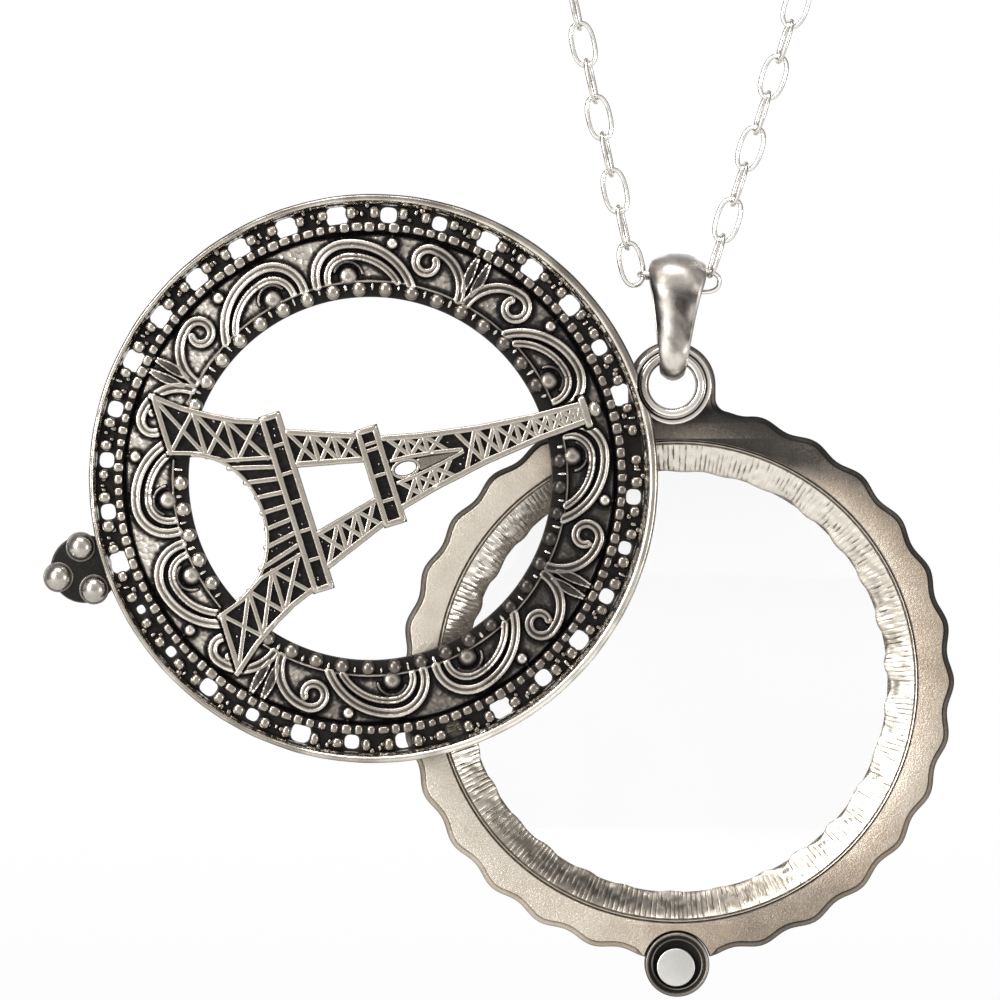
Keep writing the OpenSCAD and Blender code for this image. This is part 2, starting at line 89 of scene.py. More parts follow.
def ramp(tree, amount, stops):
    """Colours along a value, as (place, colour) stops."""
    made = add_node(tree, "ShaderNodeValToRGB", {"Fac": amount})
    band = made.color_ramp
    while len(band.elements) < len(stops):
        band.elements.new(0.5)
    for element, (place, colour) in zip(band.elements, stops):
        element.position = place
        element.color = (*colour, 1)
    return made.outputs["Color"]


def worked_out(tree, operation, *values, clamp=False):
    """The result of a sum on values or sockets."""
    return add_node(tree, "ShaderNodeMath", dict(enumerate(values)), operation=operation,
                    use_clamp=clamp).outputs[0]


def spread(tree, value, low, high, to_low, to_high):
    """A value moved from one range to another, and held inside it."""
    return add_node(tree, "ShaderNodeMapRange", {
        "Value": value, "From Min": low, "From Max": high, "To Min": to_low, "To Max": to_high}).outputs[0]


def noise(tree, scale, detail, where=None, **inputs):
    """Soft noise, 0 to 1, at a scale in noise cells per metre."""
    if where is not None:
        inputs["Vector"] = where
    return add_node(tree, "ShaderNodeTexNoise", {**inputs, "Scale": scale, "Detail": detail}).outputs["Fac"]


def shaded(name):
    """A new material, its node tree and its main shader."""
    paint = bpy.data.materials.new(name)
    paint.use_nodes = True
    return paint, paint.node_tree, paint.node_tree.nodes["Principled BSDF"]


floor_z = -0.36
floor_r = 0.6
floor_mesh = bpy.data.meshes.new("floor")
floor_sides = 96
floor_mesh.from_pydata(
    [(aim[0] + floor_r*math.cos(2*math.pi*i/floor_sides),
      aim[1] + floor_r*math.sin(2*math.pi*i/floor_sides), floor_z) for i in range(floor_sides)],
    [], [tuple(range(floor_sides))])
floor = bpy.data.objects.new("floor", floor_mesh)
bpy.context.scene.collection.objects.link(floor)
floor_paint, floor_tree, floor_shader = shaded("pale floor")
floor_colour = ramp(floor_tree, noise(floor_tree, 60.0, 4.0), [
    (0.3, (0.80, 0.80, 0.79)), (0.7, (0.84, 0.84, 0.83))])
floor_tree.links.new(floor_colour, floor_shader.inputs["Base Color"])
floor_shader.inputs["Roughness"].default_value = 0.8
floor_mesh.materials.append(floor_paint)

# The paper behind the pendant is white, the room at the sides is dim, and the camera's side
# is grey with a brighter ring around it. The ceiling is brighter than the walls.
room = bpy.data.worlds.new("white room")
room.use_nodes = True
bpy.context.scene.world = room
room_tree = room.node_tree
looking = add_node(room_tree, "ShaderNodeTexCoord").outputs["Generated"]
looking_xyz = add_node(room_tree, "ShaderNodeSeparateXYZ", {"Vector": looking})
behind = spread(room_tree, looking_xyz.outputs["Y"], -1.0, 1.0, 0.0, 1.0)
all_round = ramp(room_tree, behind, [
    (0.00, (0.70, 0.69, 0.67)), (0.08, (0.74, 0.73, 0.71)), (0.18, (0.98, 0.96, 0.93)),
    (0.32, (0.50, 0.485, 0.465)), (0.44, (0.18, 0.17, 0.165)), (0.62, (0.20, 0.195, 0.19)),
    (0.84, (0.45, 0.45, 0.45)), (0.96, (1.0, 1.0, 1.0))])
height = spread(room_tree, looking_xyz.outputs["Z"], -1.0, 1.0, 0.0, 1.0)
level = ramp(room_tree, height, [(at, (grey, grey, grey)) for at, grey in [
    (0.0, 0.55), (0.35, 0.72), (0.485, 1.0), (0.515, 1.0), (0.68, 1.15), (1.0, 0.8)]])
walls = add_node(room_tree, "ShaderNodeVectorMath", {0: all_round, 1: level}, operation="MULTIPLY").outputs[0]
ceiling = spread(room_tree, looking_xyz.outputs["Z"], 0.88, 0.97, 1.0, 2.6)
room_light = add_node(room_tree, "ShaderNodeVectorMath", {0: walls, "Scale": ceiling},
                      operation="SCALE").outputs[0]
room_tree.links.new(room_light, room_tree.nodes["Background"].inputs["Color"])
room_tree.nodes["Background"].inputs["Strength"].default_value = 1.0


def soft_lamp(name, place, width, tall, watts):
    """A soft lamp at a place in metres from the aim, turned to it."""
    data = bpy.data.lights.new(name, "AREA")
    data.shape = "RECTANGLE"
    data.size = width
    data.size_y = tall
    data.energy = watts
    lamp = bpy.data.objects.new(name, data)
    lamp.location = Vector(aim) + Vector(place)
    lamp.rotation_euler = Vector(place).to_track_quat("Z", "Y").to_euler()
    bpy.context.scene.collection.objects.link(lamp)


soft_lamp("left lamp", (-0.55, -0.6, 0.25), 0.22, 0.6, 7)
soft_lamp("right lamp", (0.7, -0.45, -0.15), 0.12, 0.5, 3)
soft_lamp("top lamp", (-0.1, -0.35, 0.75), 0.5, 0.2, 4)


# Lens frame. It is one casting in satin silver: a flat sandy face with a scalloped edge, a
# sloped and ribbed wall that falls to the lens, a swivel lug above and a magnet cup below.
# The face has a rounded outer edge, and two fine lines run where it meets the wall.
class Casting:
    """Points, faces and tarnish with painted light and painted shade of one piece, in millimetres from the
    pin, face up.
    """

    def __init__(self):
        self.points, self.quads, self.triangles, self.tarnish, self.flat = [], [], [], [], []
        self.count = 0

    def add(self, points, quads=(), triangles=(), tarnish=0.0, flat=False):
        """Adds points, the faces between them, and their tarnish with painted light and painted shade. Flat
        triangles aren't smoothed.
        """
        points = np.asarray(points, float).reshape(-1, 3)
        self.points.append(points)
        self.quads.append(np.asarray(quads, int).reshape(-1, 4) + self.count)
        self.triangles.append(np.asarray(triangles, int).reshape(-1, 3) + self.count)
        self.flat.append(np.full(len(self.triangles[-1]), flat))
        self.tarnish.append(np.broadcast_to(np.asarray(tarnish, float), (len(points),)))
        self.count += len(points)


def stood_up(points):
    """Points drawn face up, in millimetres from the pin, as they hang in the frame."""
    return np.stack([points[:, 0], -points[:, 2], points[:, 1]], axis=1)*MM + pin


def as_is(points):
    """Points in millimetres of the frame itself."""
    return points*MM


def piece(name, casting, finish, body, stands_for=(), place=stood_up, crease=38):
    """A finished piece that rides on its body."""
    points = place(np.concatenate(casting.points))
    quads = np.concatenate(casting.quads)
    triangles = np.concatenate(casting.triangles)
    corners = np.concatenate([quads.ravel(), triangles.ravel()])
    sizes = np.concatenate([np.full(len(quads), 4), np.full(len(triangles), 3)])
    mesh = bpy.data.meshes.new(name)
    mesh.vertices.add(len(points))
    mesh.vertices.foreach_set("co", points.astype(np.float32).ravel())
    mesh.loops.add(len(corners))
    mesh.loops.foreach_set("vertex_index", corners.astype(np.int32))
    mesh.polygons.add(len(sizes))
    starts = np.concatenate([[0], np.cumsum(sizes)[:-1]])
    mesh.polygons.foreach_set("loop_start", starts.astype(np.int32))
    mesh.update(calc_edges=True)
    mesh.validate()
    smooth = np.concatenate([np.ones(len(quads), bool), ~np.concatenate(casting.flat)])
    mesh.polygons.foreach_set("use_smooth", smooth)
    mesh.set_sharp_from_angle(angle=math.radians(crease))
    shade = mesh.attributes.new("tarnish", "FLOAT", "POINT")
    shade.data.foreach_set("value", np.concatenate(casting.tarnish).astype(np.float32))
    mesh.materials.append(finish)
    made = bpy.data.objects.new(name, mesh)
    bpy.context.scene.collection.objects.link(made)
    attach(made, body)
    if stands_for:
        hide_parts(*stands_for)
    return made


def wrap_quads(rows, columns, closed_rows=True):
    """Quads of a grid of points that closes on itself along its columns, and its rows."""
    i, j = np.meshgrid(np.arange(rows if closed_rows else rows - 1), np.arange(columns), indexing="ij")
    i2, j2 = (i + 1) % rows, (j + 1) % columns
    return np.stack([i*columns + j, i*columns + j2, i2*columns + j2, i2*columns + j], axis=-1).reshape(-1, 4)


def turns(steps):
    """Angles all the way round, in radians."""
    return np.arange(steps)*2*math.pi/steps


def around(radius, height, a, centre=(0, 0)):
    """A grid of points at the radii and heights of a section's rows, and at angles."""
    x = centre[0] + radius*np.cos(a)
    return np.stack([x, centre[1] + radius*np.sin(a), np.broadcast_to(height, x.shape)], axis=-1)


def ring(casting, profile, centre=(0, 0), steps=360, tarnish=0.0):
    """A ring turned from a closed section of (radius, z), drawn anticlockwise."""
    profile = np.asarray(profile, float)
    shade = np.broadcast_to(np.reshape(tarnish, (-1, 1)), (len(profile), steps))
    casting.add(around(profile[:, :1], profile[:, 1:], turns(steps), centre),
                wrap_quads(len(profile), steps), tarnish=shade.ravel())


def end_fans(rows, columns):
    """Triangles from a grid's first and last rows to two end points that follow its own."""
    j, end, last = np.arange(columns), rows*columns, (rows - 1)*columns
    after = (j + 1) % columns
    return np.concatenate([np.stack([np.full(columns, end), after, j], axis=1),
                           np.stack([np.full(columns, end + 1), last + j, last + after], axis=1)])


def knob(casting, profile, centre=(0, 0), steps=96, tarnish=0.0):
    """A solid turned from a section that starts and ends on its axis, bottom first."""
    profile = np.asarray(profile, float)
    shade = np.broadcast_to(tarnish, (len(profile),))
    body = profile[1:-1]
    side = around(body[:, :1], body[:, 1:], turns(steps), centre).reshape(-1, 3)
    ends = [(*centre, profile[0, 1]), (*centre, profile[-1, 1])]
    casting.add(np.concatenate([side, ends]), wrap_quads(len(body), steps, False), end_fans(len(body), steps),
                np.concatenate([np.repeat(shade[1:-1], steps), shade[[0, -1]]]))


def arc(centre, radius, start, end, steps):
    """Points of an arc, its angles in degrees."""
    a = np.radians(np.linspace(start, end, steps))
    return [(centre[0] + radius*math.cos(t), centre[1] + radius*math.sin(t)) for t in a]


def circle(centre, radius, steps=96, hole=False):
    """A round outline, or the outline of a hole."""
    return np.array(arc(centre, radius, 0, -360 if hole else 360, steps + 1)[:-1])


def inward(outline):
    """Unit normals to the left of an outline."""
    along = np.roll(outline, -1, axis=0) - np.roll(outline, 1, axis=0)
    left = np.stack([-along[:, 1], along[:, 0]], axis=1)
    return left/np.linalg.norm(left, axis=1, keepdims=True)


def plate(casting, outlines, edge, tarnish=0.0, edge_tarnish=None, hole_edge=None, hole_tarnish=None,
          share=1):
    """A plate between outlines, the outer one anticlockwise and holes clockwise.
    Its edge is a list of (inset, z) from the top face round to the bottom face, and the
    holes can have an edge of their own. The outer insets can be cut to a share."""
    tops, bottoms, shift = [], [], 0
    all_points, all_quads, all_shade = [], [], []
    for outline in outlines:
        first = outline is outlines[0]
        outer = first or hole_edge is None
        own_edge, own_tarnish = (edge, edge_tarnish) if outer else (hole_edge, hole_tarnish)
        rows, n = len(own_edge), len(outline)
        left = inward(outline)*(share if first else 1)
        grid = [np.column_stack([outline + inset*left, np.full(n, z)]) for inset, z in own_edge]
        all_points.append(np.concatenate(grid))
        all_shade.append(np.repeat(np.full(rows, tarnish) if own_tarnish is None else own_tarnish, n))
        all_quads.append(wrap_quads(rows, n, False)[:, ::-1] + shift)
        tops.append((grid[0], shift))
        bottoms.append((grid[-1], shift + (rows - 1)*n))
        shift += rows*n
    triangles = []
    for loops, up in ((tops, True), (bottoms, False)):
        index = np.concatenate([start + np.arange(len(points)) for points, start in loops])
        flat = np.concatenate([points for points, _ in loops])
        found = np.array(tessellate_polygon([[Vector(p) for p in points] for points, _ in loops]))
        a, b, c = (flat[found[:, k]] for k in range(3))
        turned_up = (b[:, 0] - a[:, 0])*(c[:, 1] - a[:, 1]) - (b[:, 1] - a[:, 1])*(c[:, 0] - a[:, 0]) > 0
        found[turned_up != up] = found[turned_up != up][:, ::-1]
        triangles.append(index[found])
    casting.add(np.concatenate(all_points), np.concatenate(all_quads), np.concatenate(triangles),
                np.concatenate(all_shade), flat=True)


def rounded_edge(top, bottom, radius, low_radius=0.1, steps=6):
    """The edge of a plate, rounded above and below."""
    a = np.radians(np.linspace(90, 0, steps))
    high = [(radius - radius*math.cos(t), top - radius + radius*math.sin(t)) for t in a]
    low = [(low_radius - low_radius*math.cos(t), bottom + low_radius - low_radius*math.sin(t))
           for t in np.radians(np.linspace(0, 90, 4))]
    return high + low


def waves(x, y, size, seed, count=9):
    """Smooth uneven patches of about one size, from -1 to 1."""
    random = np.random.default_rng(seed)
    total = np.zeros(np.broadcast(x, y).shape)
    for _ in range(count):
        way = random.uniform(0, 2*math.pi)
        k = 2*math.pi/size*random.uniform(0.6, 1.5)
        total = total + np.sin(k*(x*math.cos(way) + y*math.sin(way)) + random.uniform(0, 2*math.pi))
    return np.clip(total/math.sqrt(count)/1.3, -1, 1)


def fades(off, width, power=2):
    """1 where nothing is off, falling smoothly to 0 past a width."""
    return np.exp(-np.abs(off/width)**power)


frame_r = 24.17
frame_reach = 26.1
frame_side = 0.45
frame_face = -0.125
frame_back = -3.525
scallops = 30
scallop_h = 0.24
lug_r = 3.85
lug_back = -1.025
shoulder_r = 1.2
cup_reach = 51.0
cup_r = 2.85
cup_seam = 0.06
step_r = 21.3
pin_hole_r = 2.52
lens_mid = (frame_side, -frame_reach)


def rim_radius(a):
    """Radius of the scalloped edge at an angle, in radians."""
    return frame_r + scallop_h*np.cos(scallops*a)


def bitten(a, radius, reach, toward, bite):
    """The radius cut back by a round bite, centred at a reach along one direction."""
    off = a - toward
    inside = np.maximum(bite**2 - (reach*np.sin(off))**2, 0)
    near = reach*np.cos(off) - np.sqrt(inside)
    cut = (inside > 0) & (np.cos(off) > 0)
    return np.where(cut, np.minimum(radius, near), radius)


def around_lens(a, radius):
    """Points of the face at angles and a radius from the lens's middle."""
    return np.stack([radius*np.cos(a) + frame_side, radius*np.sin(a) - frame_reach], axis=1)


# The face's outline: the scallops, bitten by the cup, and the lug with its two shoulders
def shoulder(side):
    """A rounded inner corner beside the lug, from the frame's edge up to the lug."""
    x = side*(lug_r + shoulder_r)
    y = math.sqrt((frame_r + shoulder_r)**2 - (x - frame_side)**2) - frame_reach
    foot = math.degrees(math.atan2(y + frame_reach, x - frame_side))
    return foot, arc((x, y), shoulder_r, foot + 180, 180 if side > 0 else 360, 14)


right_foot, right_shoulder = shoulder(1)
left_foot, left_shoulder = shoulder(-1)
cup_off = cup_reach - frame_reach
edge_a = np.radians(np.linspace(left_foot, 360 + right_foot, 1200)[1:-1])
from_foot = np.minimum(np.degrees(edge_a) - left_foot, 360 + right_foot - np.degrees(edge_a))
edge_r = frame_r + (rim_radius(edge_a) - frame_r)*np.clip(from_foot/5, 0, 1)
edge_r = bitten(edge_a, edge_r, cup_off, math.radians(270), cup_r + cup_seam)
lug_arc = arc((0, 0), lug_r, 0, 180, 64)
face_outline = np.array([*right_shoulder, *lug_arc, *reversed(left_shoulder), *around_lens(edge_a, edge_r)])

body_a = turns(1440)
body_r = bitten(body_a, rim_radius(body_a), cup_off, math.radians(270), cup_r + cup_seam)
pin_way = math.atan2(frame_reach, -frame_side)
body_r = bitten(body_a, body_r, math.hypot(frame_reach, frame_side), pin_way, lug_r - 0.8)
body_outline = around_lens(body_a, body_r)

frame_casting = Casting()
face_bevel = [(0.58, 0), (0.52, 0), (0.47, 0.02), (0.40, 0.06), (0.28, 0.14), (0.15, 0.26), (0.05, 0.41),
              (0, 0.58)]
face_edge = [(inset, frame_face - drop) for inset, drop in face_bevel]
face_edge += [(0, lug_back + 0.02), (0.02, lug_back)]
cup_mid = (frame_side, -cup_reach)
bevel_share = np.clip(np.linalg.norm(face_outline - cup_mid, axis=1, keepdims=True) - cup_r, 0.22, 1)
step_edge = [(0.07, frame_face), (0.02, frame_face - 0.02), (0, frame_face - 0.08), (0, lug_back)]
plate(frame_casting, [face_outline, circle((0, 0), pin_hole_r, hole=True),
                      circle(lens_mid, step_r, 720, hole=True)],
      face_edge, edge_tarnish=[0.17, 0.18, 0.66, 0.40, 0.24, 0.22, 0.36, 0.5, 0.6, 0.6],
      hole_edge=step_edge, hole_tarnish=[0.17, 0.2, 0.4, 0.6], share=bevel_share)

# The face is darker to the right of the lug, and browner beside the cup and on the right. Its edge carries
# painted shade all round but for the bottom, with more painted shade where it meets the cup.
face_points = frame_casting.points[0]
face_x, face_y = face_points[:, 0] - frame_side, face_points[:, 1] + frame_reach
face_way = np.degrees(np.arctan2(face_y, face_x))
out = np.clip((np.hypot(face_x, face_y) - step_r)/(frame_r - step_r), 0, 1)
browner = 0.03 + 0.36*fades(face_way + 68, 28) + 0.2*fades(face_way - 8, 38) - 0.14*fades(face_way - 58, 12)
past = face_way - 70 + 6*out
dusk = np.where(past > 0, fades(past, 44, 4), fades(past, 17 + 10*out))
dusk = dusk*np.clip(-face_points[:, 1]/1.2 - 0.8, 0, 1)
edge_row = np.arange(len(face_points))//len(face_outline)
at_edge = (edge_row >= 2) & (edge_row < len(face_edge))
edge_painted_shade = 0.34*np.clip(0.8 + 1.1*np.sin(np.radians(face_way)), 0, 1)*at_edge
near_cup = np.linalg.norm(face_points[:, :2] - cup_mid, axis=1) < cup_r + 0.9
frame_casting.tarnish[0] = (frame_casting.tarnish[0] + np.maximum(0.74*dusk, edge_painted_shade)
                            + 0.15*(near_cup & at_edge) + browner)
plate(frame_casting, [body_outline, circle(lens_mid, step_r - 0.2, 360, hole=True)],
      rounded_edge(lug_back + 0.02, frame_back, 0.01, 0.3), 0.4)

# The ribbed wall: fine lines at the step, then a slope with short ribs and a wavy lip
wall_section = [
    (18.8, -3.5), (21.3, -3.5), (21.3, -0.38), (21.25, -0.40), (21.19, -0.34), (21.15, -0.25),
    (21.10, -0.20), (21.05, -0.22), (21.00, -0.35), (20.95, -0.38), (20.90, -0.33)]
slope_high, slope_low, slope_rows = (20.84, -0.24), (18.62, -1.46), 15
lip_section = [(18.55, -1.52), (18.55, -1.62), (19.34, -1.66), (19.34, -2.92), (18.55, -2.94), (18.55, -3.2)]
rib_count = 290
wall_steps = 2376
section = np.array([*wall_section, *np.linspace(slope_high, slope_low, slope_rows), *lip_section])
first_slope = len(wall_section)
wall_a = turns(wall_steps)
wobble = waves(8*np.cos(wall_a), 8*np.sin(wall_a), 3.0, 4)
rib = np.maximum(np.cos(rib_count*wall_a + 2.6*wobble), 0)**3
lip_wave = (0.15*np.cos(scallops*wall_a + 0.5) + 0.02*rib
            + 0.12*waves(20*np.cos(wall_a), 20*np.sin(wall_a), 3.6, 7))
along = np.zeros(len(section))
along[first_slope:first_slope + slope_rows] = np.sin(np.linspace(0.25, math.pi*0.93, slope_rows))**0.5
wall_x, wall_y = (np.outer(section[:, 0], turn(wall_a)) for turn in (np.cos, np.sin))
uneven = waves(wall_x, wall_y, 0.9, 11)
worn = np.clip(0.5 + 0.7*waves(wall_x, wall_y, 1.5, 12) + 0.4*waves(wall_x, wall_y, 5.0, 13), 0, 1)
notch = along[:, None]*rib*worn*(0.10 + 0.04*uneven)
at_lip = np.zeros(len(section))
at_lip[first_slope + slope_rows - 7:first_slope + slope_rows + 2] = [0.1, 0.25, 0.45, 0.65, 0.85, 1, 1, 1, 1]
wall_r = section[:, :1] + at_lip[:, None]*lip_wave
wall_z = section[:, 1:] - notch + along[:, None]*0.03*uneven
wall_shade = np.zeros(len(section))
wall_shade[:first_slope] = [0.3, 0.3, 0.45, 0.55, 0.5, 0.3, 0.2, 0.26, 0.45, 0.58, 0.32]
wall_shade[first_slope:first_slope + slope_rows] = np.linspace(0.12, 0.16, slope_rows)
wall_shade[first_slope + slope_rows - 1:] = [0.35, 0.6, 0.7, 0.7, 0.7, 0.5, 0.3]


def near_way(way, width, power=2):
    """1 in one direction around the wall, in degrees, falling to 0 past a width."""
    return fades((np.degrees(wall_a) - way + 180) % 360 - 180, width, power)


# Painted shade falls on the wall below and to the left, with painted highlights on a few ribs where it ends.
# The ribs' notches are darker, and a few more bands of painted light and painted shade go round the wall.
wall_painted_shade = near_way(252, 42, 3)
rib_painted_light = 3.4 - 5.5*wall_painted_shade - 4.5*near_way(287, 20) - 1.6*near_way(28, 40)
wall_painted_light = 0.64*wall_painted_shade + 0.2*near_way(18, 20) - 0.06*near_way(75, 25) + 0.16*near_way(292, 13)
wall_tarnish_and_painted_light = wall_shade[:, None] + rib_painted_light*notch + 0.05*uneven + along[:, None]*wall_painted_light
wall = Casting()
wall.add(around(wall_r, wall_z, wall_a, lens_mid), wrap_quads(len(section), wall_steps),
         tarnish=np.clip(wall_tarnish_and_painted_light, 0, 1).ravel())

# The cup stands in a bite of the frame's edge: two fine rings around a dark recess
cup = Casting()
cup_section = [
    (0, frame_back), (2.7, frame_back), (2.81, frame_back + 0.04), (cup_r, frame_back + 0.15),
    (cup_r, -0.36), (2.83, -0.20), (2.78, -0.09), (2.70, -0.03), (2.61, -0.03), (2.54, -0.08),
    (2.46, -0.22), (2.40, -0.33), (2.34, -0.34), (2.28, -0.28), (2.21, -0.25), (2.14, -0.29),
    (2.10, -0.42), (2.08, -1.2), (2.02, -1.225), (0, -1.225)]
knob(cup, cup_section, cup_mid, 144, tarnish=[
    0.3, 0.35, 0.4, 0.62, 0.7, 0.66, 0.52, 0.4, 0.5, 0.72, 0.78, 0.84, 0.86, 0.7, 0.55, 0.7, 0.95, 1, 1, 1])
# Painted shade on the cup: darker on its left, top and bottom, lightest on its right.
cup_way = np.arctan2(cup.points[0][:, 1] + cup_reach, cup.points[0][:, 0] - frame_side)
cup.tarnish[0] = (cup.tarnish[0] - 0.15*np.minimum(np.cos(cup_way), 0)
                  + 0.1*np.sin(cup_way) - 0.25*np.minimum(np.sin(cup_way), 0))


def silver_finish(name, stops, grain, grain_depth, smooth, rough, patch, patch_size):
    """Cast silver, bright or dark by a value at each point, which is tarnish together with painted light and
    painted shade.
    Grain and patch sizes are in millimetres. The roughness goes from smooth on bright silver
    to rough on dark, and patch is how much the tone varies."""
    paint, tree, shader = shaded(name)
    where = add_node(tree, "ShaderNodeTexCoord").outputs["Object"]
    kept = add_node(tree, "ShaderNodeAttribute", attribute_name="tarnish").outputs["Fac"]
    clouds = noise(tree, 1/(patch_size*MM), 5.0, where, Roughness=0.62)
    specks = noise(tree, 1/(grain*MM), 3.0, where, Roughness=0.6)
    cloud_part = worked_out(tree, "SUBTRACT", clouds, 0.5)
    speck_part = worked_out(tree, "SUBTRACT", specks, 0.5)
    with_clouds = worked_out(tree, "MULTIPLY_ADD", cloud_part, patch, kept)
    total = worked_out(tree, "MULTIPLY_ADD", speck_part, patch*0.8, with_clouds, clamp=True)
    tree.links.new(ramp(tree, total, stops), shader.inputs["Base Color"])
    tree.links.new(spread(tree, total, 0.45, 0.95, 1.0, 0.75), shader.inputs["Metallic"])
    sheen = worked_out(tree, "MULTIPLY_ADD", specks, 0.12, total)
    tree.links.new(spread(tree, sheen, 0.0, 1.0, smooth, rough), shader.inputs["Roughness"])
    bump = add_node(tree, "ShaderNodeBump", {"Strength": 1.0, "Distance": grain_depth*MM, "Height": specks})
    tree.links.new(bump.outputs["Normal"], shader.inputs["Normal"])
    return paint


satin_stops = [(0.0, (0.76, 0.72, 0.66)), (0.28, (0.52, 0.475, 0.415)), (0.55, (0.22, 0.195, 0.165)),
               (0.8, (0.05, 0.045, 0.04)), (1.0, (0.012, 0.011, 0.010))]
face_stops = [(0.0, (0.76, 0.715, 0.65)), (0.28, (0.53, 0.47, 0.395)), (0.42, (0.37, 0.305, 0.24)),
              (0.6, (0.19, 0.16, 0.135)), (0.8, (0.05, 0.045, 0.04)), (1.0, (0.012, 0.011, 0.010))]
satin_silver = silver_finish("satin silver", face_stops, 0.16, 0.05, 0.33, 0.55, 0.3, 3.0)
wall_silver = silver_finish("ribbed silver", satin_stops, 0.10, 0.01, 0.22, 0.5, 0.18, 2.0)
piece("frame_body", frame_casting, satin_silver, "pendant", ["lens_frame"])
piece("frame_wall", wall, wall_silver, "pendant")
piece("frame_cup", cup, wall_silver, "pendant")


# Lens. It is a clear glass magnifier with two equal curved faces, ground to a plain edge
# and held in the groove of the frame.
lens_r = 19.3
lens_sag = 1.0
lens_edge = 1.2
lens_level = frame_face - 2.15
lens_curve = (lens_r**2 + lens_sag**2)/(2*lens_sag)
lens_rows = 30
lens_turn = math.degrees(math.asin(lens_r/lens_curve))
front_face = arc((0, lens_level + lens_edge/2 + lens_sag - lens_curve), lens_curve,
                 90 - lens_turn, 90, lens_rows)
back_face = [(r, 2*lens_level - z) for r, z in reversed(front_face)]
glass_casting = Casting()
knob(glass_casting, [(0, back_face[0][1]), *back_face[1:], *front_face[:-1], (0, front_face[-1][1])],
     lens_mid, 192)
glass, glass_tree, glass_shader = shaded("clear glass")
glass_shader.inputs["Transmission Weight"].default_value = 1.0
glass_shader.inputs["IOR"].default_value = 1.49
glass_where = add_node(glass_tree, "ShaderNodeTexCoord").outputs["Object"]
smears = noise(glass_tree, 1/(9*MM), 4.0, glass_where, Distortion=0.6)
glass_tint = ramp(glass_tree, smears, [(0.3, (1.0, 1.0, 1.0)), (0.7, (0.985, 0.99, 0.988))])
glass_tree.links.new(glass_tint, glass_shader.inputs["Base Color"])
glass_tree.links.new(spread(glass_tree, smears, 0.55, 0.8, 0.0, 0.05), glass_shader.inputs["Roughness"])
piece("lens_glass", glass_casting, glass, "pendant", ["lens"], crease=30)


# Magnet and keeper. The magnet is a small nickel-plated disc glued in the cup, and the
# keeper is the steel disc let into the back of the cover's tab.
magnet_r = 1.7
magnet_mid = (frame_side - 0.1, -cup_reach - 0.28)
magnet_low = -1.175
magnet_top = -0.5
nickel_stops = [(0.0, (0.70, 0.69, 0.67)), (0.35, (0.52, 0.51, 0.49)), (0.7, (0.22, 0.21, 0.2)),
                (1.0, (0.03, 0.03, 0.03))]
nickel = silver_finish("satin nickel", nickel_stops, 0.12, 0.008, 0.3, 0.5, 0.2, 1.5)


def disc(casting, radius, low, top, centre):
    """A flat disc with soft edges."""
    soft = 0.12
    flat_r = radius - soft
    knob(casting, [(0, low), (flat_r, low), *arc((flat_r, low + soft), soft, -90, 0, 4),
                   *arc((flat_r, top - soft), soft, 0, 90, 5), (0, top)], centre, 72,
         tarnish=[0.2, 0.2, 0.5, 0.5, 0.5, 0.5, 0.55, 0.4, 0.2, 0.15, 0.12, 0.1])


magnet = Casting()
disc(magnet, magnet_r, magnet_low, magnet_top, magnet_mid)
piece("magnet_disc", magnet, nickel, "pendant", ["magnet"])

# Eyelet. A hollow rivet of polished silver holds the two lugs together, and its ends are
# rolled over into smooth rings.
eyelet_r = 2.07
barrel_r = 2.45
flange_low = 1.075
flange_section = [(2.80, flange_low), *arc((2.62, 1.27), 0.22, -20, 75, 6), (2.52, 1.50),
                  *arc((2.46, 1.16), 0.335, 90, 168, 6), (2.09, 1.05), (eyelet_r, 0.85)]
eyelet_section = [(barrel_r, -flange_low), (barrel_r, flange_low), *flange_section,
                  *[(r, -z) for r, z in reversed(flange_section)]]
flange_shade = [0.75, 0.5, 0.3, 0.12, 0.05, 0.0, 0.0, 0.0, 0.0, 0.0, 0.05, 0.12, 0.25, 0.4, 0.6, 0.7]
eyelet = Casting()
ring(eyelet, eyelet_section, steps=128, tarnish=[0.8, 0.8, *flange_shade, *flange_shade[::-1]])
# Painted shadow on the eyelet's left, deepest at the upper left.
eyelet_way = np.arctan2(eyelet.points[0][:, 1], eyelet.points[0][:, 0])
eyelet.tarnish[0] = eyelet.tarnish[0] + 0.5*np.clip(np.cos(eyelet_way - math.radians(160)), 0, 1)
bright_stops = [(0.0, (0.82, 0.79, 0.75)), (0.25, (0.64, 0.605, 0.56)), (0.5, (0.34, 0.31, 0.28)),
                (0.8, (0.08, 0.072, 0.065)), (1.0, (0.012, 0.011, 0.010))]
polished = silver_finish("polished silver", bright_stops, 0.25, 0.004, 0.14, 0.4, 0.15, 2.0)
piece("eyelet", eyelet, polished, "pendant", ["rivet"])


# Cover. It is one casting in dark antique silver, open in the middle: a smooth round rim,
# a channel pierced by thirty-one holes with a bead on each side, a row of fine square
# granules, a band of arches and scrolls, and round beads along the opening.
cover_open = math.radians(72.6)
cover_reach = 27.5
cover_back = 0.125


def spun(x, y, turn):
    """Places turned anticlockwise by an angle in radians."""
    return x*math.cos(turn) - y*math.sin(turn), x*math.sin(turn) + y*math.cos(turn)


def opened(points):
    """Points of the cover, measured from its middle with the pin above, as it stands open."""
    x, y = spun(points[:, 0], points[:, 1] - cover_reach, -cover_open)
    return stood_up(np.stack([x, y, points[:, 2] + cover_back], axis=1))


def from_pin_side(angle, radius):
    """A place on the cover at an angle in degrees, anticlockwise from the pin's side."""
    a = np.radians(angle)
    return np.stack([-radius*np.sin(a), radius*np.cos(a)], axis=-1)


